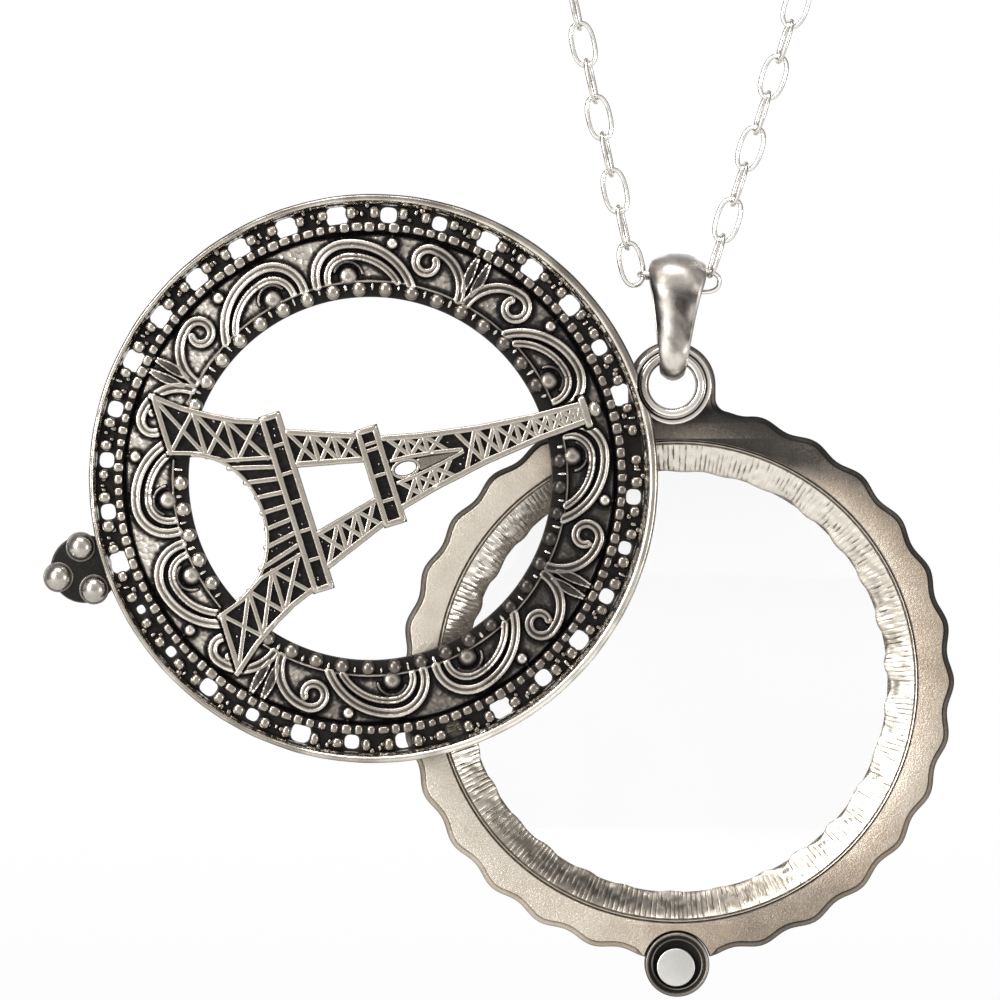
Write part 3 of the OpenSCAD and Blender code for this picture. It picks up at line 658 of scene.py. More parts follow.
cover_r = 25.0
channel_out = 24.3
channel_in = 22.5
opening_r = 15.95
hole_ring = 23.2
channel_floor = 0.8
hole_radii = [
    0.90, 0.64, 0.84, 0.88, 0.90, 0.62, 0.70, 0.90,
    0.90, 0.88, 0.88, 0.90, 0.90, 0.67, 0.65, 0.66,
    0.90, 0.36, 0.43, 0.71, 0.53, 0.82, 0.62, 0.68,
    0.60, 0.90, 0.68, 0.78, 0.62, 0.55, 0.65]
hole_step = 11.25
hole_turn = 1.1


def squarish(angle, radius):
    """A rounded square hole, its sides along and across the channel."""
    a = -turns(40)
    bulge = radius*1.03*(np.abs(np.cos(a))**2.9 + np.abs(np.sin(a))**2.9)**(-1/2.9)
    x, y = spun(bulge*np.cos(a), bulge*np.sin(a)*0.95, math.radians(angle))
    return np.stack([x, y], axis=1) + from_pin_side(angle, hole_ring)


# All that lies inside the rim was cast a little off its middle, away from the pin
inside_off = np.array([-0.09, -0.286])


def opened_inside(points):
    """The same, for what lies inside the rim."""
    return opened(points + [*inside_off, 0])


holes = [squarish(hole_step*i + hole_turn, r) + inside_off for i, r in enumerate(hole_radii)]

base = Casting()
plate(base, [circle((0, 0), channel_out + 0.15, 720), *holes, circle(inside_off, opening_r, 480, hole=True)],
      rounded_edge(channel_floor, 0.04, 0.12, 0.08, 4),
      edge_tarnish=[0.97, 0.8, 0.62, 0.6, 0.6, 0.6, 0.5, 0.35])

# The rim is wider on the right, with a gritty slope inside it, and is cut back where the
# rivet's flange turns under it
rim_section = np.array([
    (24.30, 0.03), (24.45, 0.0), (24.82, 0.0), (24.93, 0.04), (25.0, 0.14), (25.0, 1.72),
    *arc((24.68, 1.76), 0.33, 5, 175, 9), (24.34, 1.66), (24.24, 1.53), (24.12, 1.37), (24.04, 1.15),
    (24.0, 0.6)])
rim_steps = 1080
rim_a = turns(rim_steps)
flange_clear = 3.1
off_pin = (np.degrees(rim_a) - 90) % 360
limit = bitten(rim_a, cover_r, cover_reach, math.radians(90), flange_clear)
rim_x, rim_y = cover_r*np.cos(rim_a), cover_r*np.sin(rim_a)
rim_rough = 0.025*waves(rim_x, rim_y, 5.0, 3)
rim_lift = 0.03*waves(rim_x, rim_y, 3.3, 8)
to_right = np.cos(rim_a - cover_open)
rim_r = np.minimum(cover_r - (cover_r - rim_section[:, :1])*(1 + 0.316*to_right), limit)
rim_top = (rim_section[:, 1:] > 1.7)
on_slope = (rim_section[:, :1] < 24.3) & (rim_section[:, 1:] > 1)
grit = waves(24*np.cos(rim_a), 24*np.sin(rim_a), 0.5, 31, 12)
rim_z = rim_section[:, 1:] + rim_top*rim_lift + on_slope*0.07*grit
rim_r = rim_r - (rim_section[:, :1] > 24.9)*np.abs(rim_rough)
rim = Casting()
rim_shade = np.array([0.4, 0.35, 0.35, 0.4, 0.6, 0.6, 0.42, 0.2, 0.1, 0.06, 0.04, 0.0, 0.05, 0.1, 0.2, 0.25,
                      0.1, 0.12, 0.45, 1.0])
# Painted light on the rim's crest: dark all round but brightest about 290 degrees from the pin's side, and a
# little about 170 degrees.
rim_painted_light = 0.34 - 0.44*fades(off_pin - 290, 35) - 0.18*fades(off_pin - 170, 60)
rim_tarnish_and_painted_light = (rim_shade[:, None] + rim_top*rim_painted_light*(rim_section[:, :1] > 24.5)
               + on_slope*(0.3*grit - 0.12) + 0.1*waves(rim_x, rim_y, 4, 5))
rim.add(around(rim_r, rim_z, rim_a), wrap_quads(len(rim_section), rim_steps),
        tarnish=np.clip(rim_tarnish_and_painted_light, 0, 1).ravel())


def power_of(value, power):
    """A value raised to a power, with its sign kept. Below 1 it makes a circle squarish."""
    return np.sign(value)*np.abs(value)**power


def beads(casting, places, turned, half, power, sides, rows, dark_below, kept, vary, seed):
    """Cast beads, each a round or squarish grain with its half sizes in millimetres.
    A power below 1 makes them squarer. Their feet are dark, and each top takes a given darkness of tarnish,
    with painted light where that is given."""
    random = np.random.default_rng(seed)
    kept_each = np.broadcast_to(kept, (len(places),))
    tilt = np.linspace(-math.pi/2, math.pi/2, rows)[1:-1, None]
    side_a = turns(sides)
    level = power_of(np.cos(tilt), power)
    x, y = level*power_of(np.cos(side_a), power), level*power_of(np.sin(side_a), power)
    z = np.broadcast_to(power_of(np.sin(tilt), power), x.shape)
    shape = np.concatenate([np.stack([x, y, z], axis=-1).reshape(-1, 3), [(0, 0, -1), (0, 0, 1)]])
    grid, fans = wrap_quads(rows - 2, sides, False), end_fans(rows - 2, sides)
    foot = np.clip((dark_below + 0.45 - shape[:, 2])/0.9, 0, 1)
    for place, turn, top_dark in zip(places, turned, kept_each):
        size = np.array(half)*(1 + vary*random.uniform(-1, 1, 3))
        x, y, z = (shape*size).T
        spot = np.array(place) + [*vary*0.25*np.array(half[:2])*random.uniform(-1, 1, 2), 0]
        casting.add(np.stack([*spun(x, y, turn), z], axis=1) + spot, grid, fans,
                    top_dark + (1 - top_dark)*foot)


def painted_light_at(angle):
    """How much painted light the cover gets at an angle from the pin's side, from 0 to 1."""
    return 0.5 + 0.5*np.cos(np.radians(angle - 143))


def set_at(angles, radius, height):
    """Places on the cover at angles from the pin's side, all at one height."""
    return np.column_stack([from_pin_side(angles, radius), np.full(len(angles), height)])


def bead_ring(casting, angles, radius, height, half, **look):
    """Beads at angles around the cover, each square to its middle."""
    beads(casting, set_at(angles, radius, height), np.radians(angles), half, **look)


# Granules and the pairs of long beads beside the holes
grain_count, grain_ring = 128, 22.12
pair_off, pair_ring = 3.15, 23.38
cells = 32
grains = Casting()
seat = [(21.72, 0.3), (channel_in + 0.02, 0.3), (channel_in, 1.08), (22.44, 1.14), (21.8, 1.14), (21.74, 1.08)]
ring(grains, seat, steps=480, tarnish=[1, 1, 0.95, 0.9, 0.9, 0.95])
grain_angles = hole_turn + 360*(np.arange(grain_count) + 0.5)/grain_count
# The tops of the granules and pairs carry painted light, lighter on one side of the cover.
bead_ring(grains, grain_angles, grain_ring, 1.2, (0.46, 0.41, 0.42), power=0.6, sides=16, rows=9,
          dark_below=0.0, kept=0.48 - 0.2*painted_light_at(grain_angles), vary=0.2, seed=2)
pair_angles = np.array([hole_turn + hole_step*i + s*pair_off for i in range(cells) for s in (-1, 1)])
bead_ring(grains, pair_angles, pair_ring, 1.12, (0.50, 0.52, 0.55), power=0.82, sides=16, rows=11,
          dark_below=0.0, kept=0.46 - 0.18*painted_light_at(pair_angles), vary=0.13, seed=3)

# Bits of metal between the pairs: a short bar in each cell, and two lumps beside it
cell_chance = np.random.default_rng(12)
cell_middles = hole_turn + hole_step*(np.arange(cells) + 0.5)
cell_angles = cell_middles + cell_chance.uniform(-0.5, 0.5, cells)
cell_places = set_at(cell_angles, cell_chance.uniform(23.2, 23.7, cells), 0.95)
cell_turns = np.radians(cell_angles) + cell_chance.uniform(-0.15, 0.15, cells)
beads(grains, cell_places, cell_turns, (0.17, 0.33, 0.38), power=0.8, sides=12, rows=7,
      dark_below=0.05, kept=0.28, vary=0.25, seed=4)
lump_off = 1.15*np.tile([-1, 1], cells)
lump_angles = np.repeat(cell_middles, 2) + lump_off + cell_chance.uniform(-0.3, 0.3, 2*cells)
lump_reach = cell_chance.choice([22.95, 23.4, 23.95], 2*cells)
bead_ring(grains, lump_angles, lump_reach, 0.85, (0.27, 0.30, 0.40), power=0.85, sides=12, rows=7,
          dark_below=0.1, kept=0.42, vary=0.25, seed=13)

# The outline of the tower, which lies over the beads and the band
shaft = [(1.6, 3.45), (5, 2.65), (10, 1.78), (15, 1.25), (19.4, 1.05)]
upper_deck = (4.5, -0.4, 1.7)
lower_deck = (8.15, -8.1, -6.1)
leg_out = [(-8.1, 8.0), (-10, 8.7), (-12, 9.75), (-14.2, 11.15), (-16.6, 13.1)]
leg_in = [(-8.1, 4.25), (-12, 5.2), (-14.2, 6.55), (-16.6, 7.35)]
arch_a, arch_b, arch_y = 6.7, 5.5, -15.8
foot_y = -16.6
cap_y = 19.6


def width_at(table, y):
    """The half width that a table of (height, half width) gives at a height."""
    rows = sorted(table)
    return np.interp(y, [r[0] for r in rows], [r[1] for r in rows])


def mirrored(points):
    """The same points on the other side of the tower's middle line."""
    return [(-x, y) for x, y in points]


def deck_outline(half, low, top):
    """A deck as a plain box across the tower."""
    return [(-half, low), (half, low), (half, top), (-half, top)]


arch_line = [(arch_a*math.cos(t), arch_y + arch_b*math.sin(t)) for t in np.radians(np.linspace(0, 180, 49))]
shaft_side = [(x, y) for y, x in shaft]
leg_side = [(x, y) for y, x in leg_out]
mid_leg = [(1.6, 0.2), (1.6, -0.4), (2.9, -6.1), (2.9, -6.6), (6.6, -6.6), (6.45, -6.1), (4.3, -0.4),
           (4.3, 0.2)]
tower_outlines = [
    [(3.45, 1.2), *shaft_side, *mirrored(reversed(shaft_side)), (-3.45, 1.2)],
    deck_outline(*upper_deck), deck_outline(*lower_deck), mid_leg, mirrored(mid_leg),
    [(7.35, foot_y), *reversed(leg_side), (8.0, -7.5), (-8.0, -7.5), *mirrored(leg_side), (-7.35, foot_y),
     *reversed(arch_line)],
    deck_outline(1.4, 19.1, 20.0)]
oval_gap = (0, 2.95, 0.56, 0.98)


def outside(points, outline):
    """Distance outside a closed outline, and below zero inside it."""
    outline = np.array(outline)
    gap = np.full(len(points), 1e9)
    inside = np.zeros(len(points), bool)
    for a, b in zip(outline, np.roll(outline, -1, axis=0)):
        d = b - a
        t = np.clip((points - a)@d/(d@d), 0, 1)
        gap = np.minimum(gap, np.linalg.norm(points - a - t[:, None]*d, axis=1))
        crosses = (a[1] > points[:, 1]) != (b[1] > points[:, 1])
        if a[1] != b[1]:
            at_x = a[0] + (points[:, 1] - a[1])*d[0]/d[1]
            inside ^= crosses & (points[:, 0] < at_x)
    return np.where(inside, -gap, gap)


def off_tower(points):
    """Distance outside the tower's web, with its gap in the shaft."""
    gap = np.min([outside(points, outline) for outline in tower_outlines], axis=0)
    x, y, wide, tall = oval_gap
    off_oval = np.sqrt(((points[:, 0] - x)/wide)**2 + ((points[:, 1] - y)/tall)**2)
    return np.maximum(gap, (1 - off_oval)*wide)


# Round beads on a low seat along the opening
pearls = Casting()
ring(pearls, [(opening_r, 0.3), (17.28, 0.3), (17.28, 0.82), (17.2, 0.9), (16.1, 0.86), (15.97, 0.72)],
     steps=480, tarnish=[0.9, 1, 1, 1, 0.95, 0.8])
pearl_count, pearl_ring, tie_ring = 45, 16.7, 16.9


def clear_of_tower(angles, radius):
    """The angles at which the tower doesn't cover the opening's edge."""
    return angles[off_tower(from_pin_side(angles, radius) + inside_off) > 0.1]


pearl_angles = clear_of_tower(360*(np.arange(pearl_count) + 0.5)/pearl_count, pearl_ring)
# The pearls' tops carry painted light on the same side.
bead_ring(pearls, pearl_angles, pearl_ring, 0.98, (0.70, 0.70, 0.64), power=1.0, sides=28, rows=17,
          dark_below=0.05, kept=0.66 - 0.42*painted_light_at(pearl_angles), vary=0.05, seed=5)
tie_angles = clear_of_tower(360*np.arange(pearl_count)/pearl_count, tie_ring)
bead_ring(pearls, tie_angles, tie_ring, 0.95, (0.15, 0.36, 0.32), power=0.7, sides=10, rows=7,
          dark_below=0.1, kept=0.05, vary=0.3, seed=9)


# The band of arches, scrolls and leaves is worked out for half a quarter and mirrored round
def from_axis(angle, radius):
    """A place on the band at an angle in degrees from its nearest line of symmetry."""
    a = np.radians(angle)
    return np.array([radius*math.cos(a), radius*math.sin(a)])


def crest_arc(crest_a, crest_r, foot, steps):
    """The arc that leaves a crest level and ends at a foot."""
    up = from_axis(crest_a, 1)
    mid_r = (crest_r**2 - foot@foot)/(2*(crest_r - foot@up))
    mid = mid_r*up
    d = foot - mid
    sweep = (math.degrees(math.atan2(d[1], d[0])) - crest_a + 180) % 360 - 180
    return [mid + from_axis(crest_a + sweep*t, crest_r - mid_r) for t in np.linspace(0, 1, steps)]


def arch_path(crest_a, crest_r, short, long):
    """An arch over its crest, from a short foot to a long one."""
    first = crest_arc(crest_a, crest_r, from_axis(*short), 12)
    return first[::-1] + crest_arc(crest_a, crest_r, from_axis(*long), 18)[1:]


def scroll_path():
    """A scroll that rises from its foot, passes its crest and curls in."""
    crest_a, crest_r, first_r, last_r, sweep = 32.4, 20.85, 1.35, 0.62, 300
    mid = from_axis(crest_a, crest_r - first_r)
    curl = []
    for t in np.linspace(0, 1, 30):
        radius = first_r + (last_r - first_r)*t
        curl.append(mid + from_axis(crest_a - sweep*t, radius) + t*np.array([0.1, 0.15]))
    return crest_arc(crest_a, crest_r, from_axis(43.8, 17.5), 14)[::-1] + curl[1:]


def off_path(points, path):
    """Distance of points from a path, and how far along it they are nearest, 0 to 1."""
    path = np.array(path)
    best = np.full(len(points), 1e9)
    share = np.zeros(len(points))
    for k in range(len(path) - 1):
        a, d = path[k], path[k + 1] - path[k]
        t = np.clip((points - a)@d/(d@d), 0, 1)
        gap = np.linalg.norm(points - a - t[:, None]*d, axis=1)
        nearer = gap < best
        best[nearer] = gap[nearer]
        share[nearer] = ((k + t)/(len(path) - 1))[nearer]
    return best, share


def ridge(gap, middle, half):
    """Height, 0 to 1, of a rounded ridge at a distance from a line."""
    return np.clip(1 - ((gap - middle)/half)**2, 0, 1)**0.5


band_in, band_out = 17.12, 21.78
inner_line, outer_line, groove_start, groove_r = 17.34, 21.4, 21.55, 21.62
band_rows, band_steps = 52, 1760
ground = 1.0
relief = 0.46
band_radii = np.linspace(band_out, band_in, band_rows)
band_angles = np.degrees(turns(band_steps))
quarter = band_angles % 90
folded = np.radians(np.minimum(quarter, 90 - quarter))
band_x = np.outer(band_radii, np.cos(folded))
band_y = np.outer(band_radii, np.sin(folded))
one_eighth = band_steps//8 + 1
spots = np.stack([band_x[:, :one_eighth].ravel(), band_y[:, :one_eighth].ravel()], axis=1)

heights, gaps = [], []


def raise_lines(path, apart, half, height, between, closing=0.0):
    """Raises two rounded ridges, side by side along a path, with a lower fill between them.
    Their distance from the path shrinks by a closing share on the way."""
    gap, share = off_path(spots, path)
    apart = apart*(1 - closing*share)
    heights.append(height*np.maximum(ridge(gap, apart, half), between*ridge(gap, 0, apart + 0.1)))
    gaps.append(gap - apart - half)


def raise_dome(mid, radius, height):
    """Raises a round dome."""
    gap = np.linalg.norm(spots - mid, axis=1)
    heights.append(height*ridge(gap, 0, radius))
    gaps.append(gap - radius)


def raise_wire(path, half, height):
    """Raises one thin low ridge along a path."""
    heights.append(height*ridge(off_path(spots, path)[0], 0, half))


# Two arches and their balls, a scroll, the petals, a lone ball and the lines along the band
raise_lines(arch_path(10.9, 20.72, (1.9, 17.5), (29.3, 17.35)), 0.25, 0.27, 1.0, 0.84)
raise_lines(arch_path(11.2, 19.6, (5.2, 17.6), (25.4, 17.4)), 0.19, 0.22, 0.98, 0.84)
raise_lines(scroll_path(), 0.29, 0.27, 0.96, 0.82, 0.35)
petal = [from_axis(43.85, 18.35), from_axis(43.6, 19.3), from_axis(43.42, 20.3), from_axis(43.5, 21.5)]
petal_gap, along_petal = off_path(spots, petal)
petal_half = 0.16 + 0.33*np.sin(np.clip(along_petal*1.05, 0, 1)*math.pi*0.92)
heights.append(0.97*np.maximum(ridge(petal_gap, petal_half*0.72, 0.17), 0.8*ridge(petal_gap, 0, petal_half)))
gaps.append(petal_gap - petal_half)
raise_dome(petal[0], 0.27, 0.95)
ball_mid = from_axis(11.2, 17.85)
raise_dome(ball_mid, 0.92, 1.05)
raise_wire([ball_mid + from_axis(t, 1.28) for t in np.linspace(-55, 95, 16)], 0.2, 0.8)
lone_ball = from_axis(22.7, 20.7)
raise_dome(lone_ball, 0.62, 1.05)
raise_wire([lone_ball, from_axis(22.7, 21.6)], 0.16, 0.55)
spot_r = np.linalg.norm(spots, axis=1)
heights += [0.85*ridge(spot_r, inner_line, 0.2), 0.45*ridge(spot_r, outer_line, 0.08)]
gaps += [np.abs(spot_r - inner_line) - 0.2, groove_start - spot_r]

# The whole band's relief, with rough ground, sunk where the tower lies over it
column = np.rint(np.degrees(folded)/(360/band_steps)).astype(int)
relief_map = np.max(heights, axis=0).reshape(band_rows, one_eighth)[:, column]
gap_map = np.min(gaps, axis=0).reshape(band_rows, one_eighth)[:, column]
real_x = np.outer(band_radii, np.cos(np.radians(band_angles)))
real_y = np.outer(band_radii, np.sin(np.radians(band_angles)))
sand = 0.5*waves(real_x, real_y, 0.42, 21, 14) + 0.5*waves(real_x, real_y, 0.75, 22, 12)
drift = waves(real_x, real_y, 5.0, 23)
groove = np.clip(1 - np.abs(band_radii - groove_r)/0.14, 0, 1)[:, None]
lit = painted_light_at(band_angles)
cover_z = (ground + relief*relief_map*(1 + 0.06*drift) + (0.035 + 0.02*lit)*sand*(1 - relief_map)
           - 0.25*groove)
spin = np.radians(band_angles + 90)
on_band = np.stack([np.outer(band_radii, np.cos(spin)).ravel(),
                    np.outer(band_radii, np.sin(spin)).ravel()], axis=1) + inside_off
from_tower = np.full(len(on_band), 9.0)
near_tower = (on_band[:, 1] < -9) | (np.abs(on_band[:, 0]) < 3)
from_tower[near_tower] = off_tower(on_band[near_tower])
under = np.clip(0.5 - from_tower.reshape(cover_z.shape)/0.5, 0, 1)
cover_z = cover_z - under*(cover_z - 0.9)


def blurred(field, rows, columns):
    """The field averaged over a few rows and columns, which close round."""
    for _ in range(2):
        padded = np.pad(field, ((rows, rows), (0, 0)), mode="edge")
        field = sum(padded[k:k + len(field)] for k in range(2*rows + 1))/(2*rows + 1)
        field = sum(np.roll(field, k, axis=1) for k in range(-columns, columns + 1))/(2*columns + 1)
    return field


# Tarnish stays in the hollows and in the groove. Beside the forms and under the tower the darkness is painted
# shade, and the band is painted lighter on one side of the cover.
hollow = blurred(cover_z, 4, 6) - cover_z
patchy = waves(real_x, real_y, 3.2, 24)
shadow = np.clip(1.15 - gap_map/0.34, 0, 1)
ground_shade = 0.62 - 0.6*lit + 0.08*patchy + (0.16 + 0.2*lit)*sand + 0.75*shadow
form_shade = 0.4 - 0.19*lit + 1.8*(1 - relief_map).clip(0)**0.95 - 0.06*drift + 0.18*(relief_map > 1)
band_shade = np.where(relief_map > 0.2, form_shade, ground_shade) + 1.6*hollow + 0.8*groove + 0.9*under
ornament = Casting()
band_r = np.concatenate([[band_in, band_out], band_radii])
band_top = np.concatenate([np.full((2, band_steps), 0.3), cover_z])
band_dark = np.concatenate([np.ones((2, band_steps)), np.clip(band_shade, 0, 1)])
ornament.add(around(band_r[:, None], band_top, spin), wrap_quads(band_rows + 2, band_steps),
             tarnish=band_dark.ravel())

antique_stops = [(0.0, (0.90, 0.86, 0.79)), (0.12, (0.66, 0.62, 0.555)), (0.26, (0.45, 0.41, 0.36)),
                 (0.44, (0.23, 0.205, 0.18)), (0.66, (0.05, 0.044, 0.04)), (1.0, (0.007, 0.006, 0.0055))]
antique = silver_finish("antique silver", antique_stops, 0.14, 0.012, 0.2, 0.42, 0.2, 2.2)
antique_smooth = silver_finish("rubbed antique silver", antique_stops, 0.3, 0.006, 0.16, 0.4, 0.16, 3.0)
piece("cover_base", base, antique, "cover", ["cover"], opened)
piece("cover_rim", rim, antique_smooth, "cover", place=opened)
piece("cover_granules", grains, antique_smooth, "cover", place=opened_inside)
piece("cover_pearls", pearls, antique_smooth, "cover", place=opened_inside)
piece("cover_ornament", ornament, antique, "cover", place=opened_inside)


# Lattice tower. It is cast in one with the cover and crosses the opening from the rim by
# the pin to the band opposite: raised bars and braces over a thin web that stays black.
bar_half = 0.29
brace_half = 0.24
web_z = 1.08
bar_z = 1.72
shaft_levels = [8.0, 9.8, 11.5, 13.3, 14.9, 16.3, 17.5, 18.6, 19.3]
side_levels = [2.1, 3.7, 5.3, 7.0]
gate = [(1.02, 1.9), (0.92, 3.4), (0.62, 5.6), (0.12, 8.2)]
tower_bars = []


def bar(path, half=bar_half, lift=1.0, both=True):
    """A bar along a path, and its twin on the other side."""
    tower_bars.append((path, half, lift))
    if both:
        tower_bars.append((mirrored(path), half, lift))


def crossed(inner, outer, levels, half=brace_half):
    """Crossed braces and rungs between two edges, given as x at each level."""
    for low, top in zip(levels, levels[1:]):
        bar([(inner(low), low), (outer(top), top)], half, 0.92)
        bar([(outer(low), low), (inner(top), top)], half, 0.92)
    for level in levels[1:-1]:
        bar([(inner(level), level), (outer(level), level)], half, 0.96)


for half, low, top in (upper_deck, lower_deck):
    side, low_bar, top_bar = half - bar_half, low + bar_half, top - bar_half
    for y in (low_bar, top_bar):
        bar([(-side, y), (side, y)], 0.3, 1.08, both=False)
    bar([(side, low_bar), (side, top_bar)], 0.3, 1.08)
upper_posts, lower_posts = (-3.0, -2.45, -0.12, 2.2), (-5.3, -2.7, -0.1, 2.55, 5.2)
for x in upper_posts:
    bar([(x, -0.2), (x, 1.5)], 0.19, 0.9, both=False)
for x in lower_posts:
    bar([(x, -7.9), (x, -6.3)], 0.2, 0.9, both=False)
bar([(x - bar_half, y) for x, y in shaft_side])
bar(gate, 0.2)
gate_widths = [(y, x) for x, y in gate]


def shaft_bar(y):
    """How far from the middle the shaft's side bar stands."""
    return width_at(shaft, y) - bar_half


crossed(lambda y: width_at(gate_widths, y), shaft_bar, side_levels)
for low, top in zip(shaft_levels, shaft_levels[1:]):
    low_x, top_x = shaft_bar(low), shaft_bar(top)
    bar([(low_x, low), (-top_x, top)], brace_half, 0.92)
    bar([(-top_x, top), (top_x, top)], brace_half, 0.92, both=False)
loop = [(0.76*math.cos(t), oval_gap[1] + 1.18*math.sin(t)) for t in turns(24)]
bar(loop + loop[:1], 0.13, 0.85, both=False)
bar([(4.3 - bar_half, -0.4), (6.45 - bar_half, -6.1)])
bar([(1.6 + bar_half, -0.4), (2.9 + bar_half, -6.1)])
crossed(lambda y: np.interp(-y, [0.4, 6.1], [1.8, 3.1]), lambda y: np.interp(-y, [0.4, 6.1], [4.1, 6.25]),
        [-0.5, -2.3, -4.1, -6.1])
bar([(x - bar_half, y) for y, x in leg_out], 0.27)
bar([(x + bar_half*0.7, y) for y, x in leg_in], 0.22)
crossed(lambda y: width_at(leg_in, y) + 0.1, lambda y: width_at(leg_out, y) - bar_half,
        [-8.3, -10.9, -13.4, -16.4], 0.235)
bar([(7.5, foot_y + 0.28), (12.75, foot_y + 0.28)], 0.27)
for top_x, low_x, low_y in ((1.25, 1.45, -10.35), (2.5, 3.0, -10.9), (3.6, 4.65, -11.9)):
    bar([(top_x, -8.1), (low_x, low_y)], 0.24, 0.9)
bar([(0, -8.1), (0, -10.3)], 0.24, 0.9, both=False)
arch_bar = [((arch_a + 0.16)*math.cos(t), arch_y + (arch_b + 0.16)*math.sin(t))
            for t in np.radians(np.linspace(12, 168, 40))]
bar(arch_bar, 0.17, 0.95, both=False)
bar([(-1.2, cap_y - 0.1), (1.2, cap_y - 0.1)], 0.36, 1.12, both=False)


def cast_sheet(casting, off, top_of, box, step, back):
    """A sheet cut to an outline, with its top surface given as heights and tarnish."""
    x = np.arange(box[0], box[1] + step, step)
    y = np.arange(box[2], box[3] + step, step)
    columns = len(x)
    flat = np.stack(np.meshgrid(x, y), axis=-1).reshape(-1, 2)
    corner = (np.arange(len(y) - 1)[:, None]*columns + np.arange(columns - 1)).ravel()
    middles = flat[corner] + step/2
    cells = corner[off(middles) < 0]
    quads = np.stack([cells, cells + 1, cells + 1 + columns, cells + columns], axis=1)
    used, quads = np.unique(quads, return_inverse=True)
    quads = quads.reshape(-1, 4)
    flat = flat[used]
    sides = np.concatenate([quads[:, [k, (k + 1) % 4]] for k in range(4)])
    code = sides[:, 0]*len(flat) + sides[:, 1]
    back_code = sides[:, 1]*len(flat) + sides[:, 0]
    rim_sides = sides[~np.isin(code, back_code)]
    on_rim = np.unique(rim_sides)
    for _ in range(3):
        p = flat[on_rim]
        gap = off(p)
        tiny = 0.02
        slope_x = (off(p + [tiny, 0]) - off(p - [tiny, 0]))/(2*tiny)
        slope_y = (off(p + [0, tiny]) - off(p - [0, tiny]))/(2*tiny)
        length = np.maximum(np.hypot(slope_x, slope_y), 0.3)
        shift = (gap/length**2)[:, None]*np.stack([slope_x, slope_y], axis=1)
        flat[on_rim] = p - np.clip(shift, -0.7*step, 0.7*step)
    z, shade = top_of(flat)
    count = len(flat)
    points = np.concatenate([np.column_stack([flat, z]), np.column_stack([flat, np.full(count, back)])])
    down = rim_sides[:, ::-1]
    walls = np.column_stack([down, rim_sides + count])
    casting.add(points, np.concatenate([quads, quads[:, ::-1] + count, walls]),
                tarnish=np.concatenate([shade, np.full(count, 0.35)]))


def web_top(points):
    """The web's flat top, which is black."""
    rough = waves(points[:, 0], points[:, 1], 0.6, 31, 12)
    return web_z + 0.012*rough, np.clip(0.95 + 0.05*rough, 0, 1)


def raised_bar(casting, path, half, top, kept, seed):
    """A bar with rounded shoulders along a path over the web, a little uneven, with round
    ends. The half width is one number, or one at each end."""
    path = np.array(path, float)
    runs = np.diff(path, axis=0)
    legs = np.linalg.norm(runs, axis=1)
    reached = np.concatenate([[0], np.cumsum(legs)])
    length = reached[-1]

    def on_path(s):
        """Places along the path, which runs on straight past its ends."""
        on = np.stack([np.interp(s, reached, path[:, k]) for k in range(2)], axis=1)
        return (on + np.minimum(s, 0)[:, None]*runs[0]/legs[0]
                + np.maximum(s - length, 0)[:, None]*runs[-1]/legs[-1])

    ends = np.broadcast_to(half, 2)
    body = np.unique(np.concatenate([reached, np.linspace(0, length, max(2, int(length/0.5) + 1))]).round(6))
    spots_on = np.concatenate([[-0.75*ends[0], -0.45*ends[0]], body,
                               [length + 0.45*ends[1], length + 0.75*ends[1]]])
    share = np.concatenate([[0.45, 0.85], np.ones(len(body)), [0.85, 0.45]])
    random = np.random.default_rng(seed)
    width = np.interp(spots_on, [0, length], ends)*share*(1 + 0.05*random.uniform(-1, 1, len(share)))
    tall = (top - web_z + 0.1)*share**0.5*(1 + 0.03*random.uniform(-1, 1, len(share)))
    way = on_path(spots_on + 0.02) - on_path(spots_on - 0.02)
    way = way/np.linalg.norm(way, axis=1, keepdims=True)
    side = np.stack([-way[:, 1], way[:, 0]], axis=1)
    t = np.linspace(0, math.pi, 13)
    across = power_of(np.cos(t).round(9), 0.42)
    up = np.sin(t).clip(0)**0.3
    flat = on_path(spots_on)[:, None] + (width[:, None]*across)[:, :, None]*side[:, None]
    points = np.concatenate([flat, (web_z - 0.1 + tall[:, None]*up)[:, :, None]], axis=2)
    n = len(t)
    i, j = np.meshgrid(np.arange(len(share) - 1), np.arange(n - 1), indexing="ij")
    quads = np.stack([i*n + j, (i + 1)*n + j, (i + 1)*n + j + 1, i*n + j + 1], axis=-1).reshape(-1, 4)
    caps = [(0, k, k + 1) for k in range(1, n - 1)]
    last = (len(share) - 1)*n
    caps += [(last, last + k + 1, last + k) for k in range(1, n - 1)]
    shade = np.broadcast_to(kept + (0.95 - kept)*(1 - up), (len(share), n)).ravel()
    casting.add(points, quads, caps, shade)


tower = Casting()
cast_sheet(tower, off_tower, web_top, (-13.3, 13.3, -16.8, 20.2), 0.14, 0.0)
for k, (path, half, rise) in enumerate(tower_bars):
    raised_bar(tower, path, half, web_z + (bar_z - web_z)*rise, 0.24, 100 + k)
raised_bar(tower, [(0, 4.35), (0, 7.6)], (0.62, 0.1), 1.42, 0.4, 99)
beads(tower, [(0, 20.35, 1.3)], [0], (0.78, 0.62, 0.62), power=1.0, sides=28, rows=15,
      dark_below=-0.1, kept=0.3, vary=0, seed=6)

